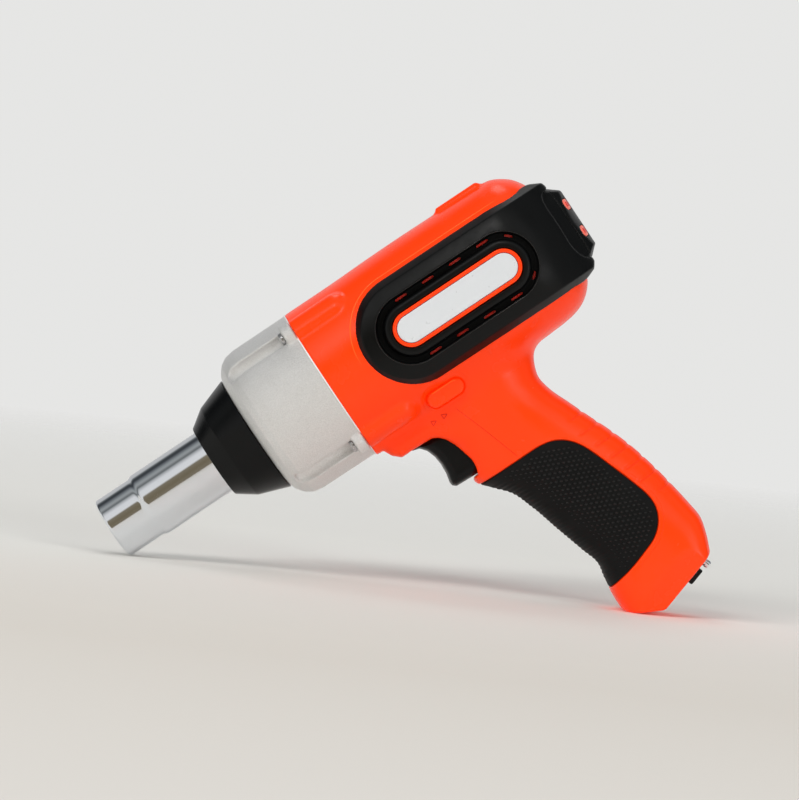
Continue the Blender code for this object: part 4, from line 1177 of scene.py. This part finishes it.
def make_paints():
    return {
        # every orange finish glows a little: painted light
        "orange": orange_plastic("orange_moulding", (0.98, 0.042, 0.0014), (1.0, 0.050, 0.0022), 0.16),
        # dark red for the channel's hollow, the crease and the finger grooves: painted shade
        "painted_shade_orange": orange_plastic("orange_recess_painted_shade", (0.55, 0.010, 0.003), (0.62, 0.014, 0.004), 0.02),
        "orange_pale": orange_plastic("orange_tongue", (0.96, 0.17, 0.12), (1.0, 0.22, 0.16), 0.1),
        # dark red for the arrows and the tail slots: painted shade
        "orange_mark_painted_shade": orange_plastic("orange_deep_painted_shade", (0.66, 0.012, 0.003), (0.72, 0.015, 0.004), 0.06),
        # light orange for edges that catch the light: painted highlight
        "orange_painted_highlight": orange_plastic("orange_edge_painted_highlight", (0.98, 0.10, 0.012), (1.0, 0.12, 0.016), 0.16),
        "black": black_plastic("black_moulding", 0.28, 0.4, 0.02, 0.2),
        # duller black for the channel below its rim: painted shade
        "black_painted_shade": black_plastic("black_recess_painted_shade", 0.45, 0.6, 0.01, 0.08),
        "edge_black": black_plastic("black_edge", 0.14, 0.2, 0.004, 0.7),
        "gloss_black": black_plastic("black_gloss_moulding", 0.16, 0.26, 0.008, 0.18),
        "rubber": rubber("soft_rubber", 0.5, 0.62, 0.18, 1.0),
        # paler rubber for the studs: painted highlight
        "studs": rubber("rubber_studs_painted_highlight", 0.3, 0.4, 0.5, 1.25),
        "casting": finish(
            "cast_aluminium", ((0.6, 3.0, 0.8), (0.64, 0.635, 0.625), (1.0, 0.998, 0.99)),
            ((1.1, 4.0), 0.36, 0.5), ((0.7, 3.0, 0.85), 0.34), Metallic=0.74, Specular_IOR_Level=0.5,
        ),
        "chrome": finish(
            "bright_chrome", ((6.0, 3.0), (0.80, 0.83, 0.87), (0.86, 0.88, 0.92)), ((3.0, 4.0), 0.04, 0.09),
            ((22.0, 2.0, 0.5, (0.12, 1.0, 1.0)), 0.010), Metallic=1.0,
        ),
        "label": finish(
            "silver_film", ((1.2, 3.0), (0.70, 0.735, 0.77), (0.725, 0.76, 0.795)), ((4.0, 3.0), 0.27, 0.33),
            ((0.4, 2.0), 0.0005), Metallic=0.1, Specular_IOR_Level=0.5,
        ),
        # near-white cut edge: partly the metal's own colour, partly painted highlight
        "machined_highlight": metal("machined_aluminium_painted_highlight", (0.86, 0.86, 0.85), (0.95, 0.95, 0.94), 0.4, 0.5, 0.2),
        "steel": metal("bright_steel", (0.46, 0.46, 0.47), (0.62, 0.62, 0.63), 0.22, 0.36),
        "dark_steel": metal("oxide_steel", (0.035, 0.035, 0.037), (0.075, 0.075, 0.08), 0.32, 0.5),
        "bronze": metal("sintered_bronze", (0.38, 0.23, 0.09), (0.52, 0.33, 0.14), 0.38, 0.55),
        "copper": metal("enamelled_copper", (0.60, 0.23, 0.10), (0.74, 0.32, 0.16), 0.26, 0.42),
        "carbon": metal("carbon_brush", (0.018, 0.018, 0.018), (0.04, 0.04, 0.04), 0.5, 0.7, 0.0),
        "magnet": metal("ferrite", (0.05, 0.05, 0.052), (0.085, 0.083, 0.08), 0.55, 0.75, 0.2),
    }


SLOT_PAINT = {"orange_plastic": "orange", "black_plastic": "black"}


def paint_frame(paint):
    """Gives every CAD node that stays its finish."""
    for entry in frame["record"]["subparts"]:
        obj = frame["nodes"].get(entry["node"])
        if obj is None:
            continue
        name = SLOT_PAINT.get(entry["material_slot"], entry["material_slot"])
        obj.data.materials.clear()
        obj.data.materials.append(paint[name])


# ---------------- stage

FLOOR_TINT = (0.93, 0.92, 0.885)
FLOOR_RADIUS = 9.0
FLOOR_NEAR_PAINTED_SHADE = (0.82, 0.775, 0.715)
BACKDROP = (0.79, 0.79, 0.78)


def floor():
    """A wide pale disc, darker and warmer towards the camera as painted shade, that fades into the backdrop before its
    rim.
    """
    bm = bmesh.new()
    bmesh.ops.create_circle(bm, cap_ends=True, segments=96, radius=FLOOR_RADIUS)
    mesh = bpy.data.meshes.new("floor")
    bm.to_mesh(mesh)
    bm.free()
    n = Nodes("paper", Roughness=0.8, Specular_IOR_Level=0.15)
    parts = n.add("ShaderNodeSeparateXYZ")
    n.wire(n.coordinates, parts.inputs[0])
    # darker and warmer towards the camera: painted shade
    n.colour(n.remap(parts.outputs["Y"], 0.0, 1.0, -0.45, 0.05), FLOOR_NEAR_PAINTED_SHADE, FLOOR_TINT)
    n.relief(n.noise(9.0, 4.0), 0.05)
    reach = n.add("ShaderNodeVectorMath", operation="LENGTH")
    n.wire(n.coordinates, reach.inputs[0])
    n.wire(n.remap(reach.outputs["Value"], 1.0, 0.0, 0.35, 2.2), n.shader.inputs["Alpha"])
    obj = link("floor", mesh, n.material)


WARM, WHITE = (1.0, 0.985, 0.96), (1.0, 1.0, 1.0)
LIGHTS = (  # name, place, size, power, tint, whether reflections show it
    ("key", (-1.9, -4.6, 4.2), (1.3, 1.3), 40.0, WARM, True),
    ("left", (-3.4, -3.8, 3.0), (3.0, 3.0), 118.0, WARM, False),
    ("right", (3.6, -4.4, 2.0), (2.4, 2.4), 68.0, WARM, False),
    ("rim", (-1.2, 2.2, 4.6), (1.8, 1.8), 24.0, WHITE, True),
    ("top", (0.0, 0.9, 7.8), (9.0, 7.0), 90.0, WHITE, False),
    ("low", (0.6, -6.0, 0.4), (5.0, 0.7), 40.0, WARM, False),
    ("spark", (2.6, -2.7, 0.25), (0.22, 0.22), 6.0, WHITE, True),
)


def lights():
    """Area lights, all aimed at the tool's middle."""
    target = Vector((0.0, 0.0, 0.09))
    for name, where, size, power, tint, shine in LIGHTS:
        data = bpy.data.lights.new(name, "AREA")
        data.shape = "RECTANGLE"
        data.size, data.size_y = size
        data.energy = power
        data.color = tint
        obj = bpy.data.objects.new(name, data)
        obj.location = where
        obj.rotation_euler = (target - Vector(where)).to_track_quat("-Z", "Y").to_euler()
        obj.visible_glossy = shine
        scene.collection.objects.link(obj)


STUDIO_BANDS = (  # share of the way from the camera's side to the far side: the room's colour
    (0.0, (0.20, 0.17, 0.12)), (0.02, (0.17, 0.14, 0.09)), (0.075, (0.21, 0.18, 0.13)), (0.10, (0.74, 0.74, 0.73)),
    (0.20, (0.72, 0.72, 0.72)), (0.24, (0.60, 0.60, 0.60)), (0.30, (0.34, 0.35, 0.35)), (0.335, (0.14, 0.15, 0.15)),
    (0.38, (0.22, 0.23, 0.23)), (0.43, (0.33, 0.34, 0.34)), (0.49, (0.28, 0.30, 0.30)), (0.56, (0.16, 0.17, 0.18)),
    (0.64, (0.05, 0.055, 0.06)), (0.72, (0.05, 0.055, 0.06)), (0.79, (0.22, 0.23, 0.23)), (0.82, (0.50, 0.50, 0.50)),
    (1.0, (0.56, 0.56, 0.56)),
)


def studio():
    """A pale backdrop for the camera, and for reflections a room with soft bands of light above it."""
    world = bpy.data.worlds.new("studio")
    world.use_nodes = True
    tree = world.node_tree
    add, wire = tree.nodes.new, tree.links.new
    parts, share = add("ShaderNodeSeparateXYZ"), add("ShaderNodeMapRange")
    wire(add("ShaderNodeTexCoord").outputs["Generated"], parts.inputs[0])
    share.inputs["From Min"].default_value = -1.0
    wire(parts.outputs["Y"], share.inputs["Value"])
    bands, sky = add("ShaderNodeValToRGB"), tree.nodes["Background"]
    wire(share.outputs["Result"], bands.inputs["Fac"])
    stops = bands.color_ramp.elements
    for at, tone in STUDIO_BANDS:
        stop = stops[0] if at == 0.0 else stops[-1] if at == 1.0 else stops.new(at)
        stop.color = (*tone, 1.0)
    wire(bands.outputs["Color"], sky.inputs["Color"])
    seen, mix = add("ShaderNodeBackground"), add("ShaderNodeMixShader")
    seen.inputs["Color"].default_value = (*BACKDROP, 1.0)
    wire(add("ShaderNodeLightPath").outputs["Is Camera Ray"], mix.inputs["Fac"])
    wire(sky.outputs[0], mix.inputs[1])
    wire(seen.outputs[0], mix.inputs[2])
    wire(mix.outputs[0], tree.nodes["World Output"].inputs["Surface"])
    scene.world = world
    scene.view_settings.view_transform = "Standard"


CAMERA_DISTANCE = 1.8
VIEW_WIDTH = 0.382
ELEVATION = radians(1.0)
ROLL = radians(6.3)
VIEW_CENTRE = (148.7, 0.0, -24.5)


def camera():
    data = bpy.data.cameras.new("camera")
    data.sensor_fit = "HORIZONTAL"
    data.angle = 2 * atan(VIEW_WIDTH / 2 / CAMERA_DISTANCE)
    obj = bpy.data.objects.new("camera", data)
    centre = spot(*VIEW_CENTRE)
    away = Vector((0, -cos(ELEVATION), sin(ELEVATION)))
    obj.location = centre + away * CAMERA_DISTANCE
    look = (-away).to_track_quat("-Z", "Y").to_matrix()
    obj.rotation_euler = (look @ Matrix.Rotation(ROLL, 3, "Z")).to_euler()
    scene.collection.objects.link(obj)
    scene.camera = obj


# ---------------- build


def build():
    paint = make_paints()
    paint_frame(paint)
    for side, hand in SIDES:
        skin_lines(housing(side, f"housing_{hand}", paint), side, hand, paint)
        side_trim(side, f"side_trim_{hand}", paint)
        label(side, hand, paint)
    tail_cap(paint["black"])
    tail_inserts(paint["orange_pale"], paint["orange_mark_painted_shade"])
    for make in (grip, gear_case, case_screws, nose, socket, housing_screws, trigger, selector, springs, inlet):
        make(paint)
    floor()
    lights()
    studio()
    camera()


build()
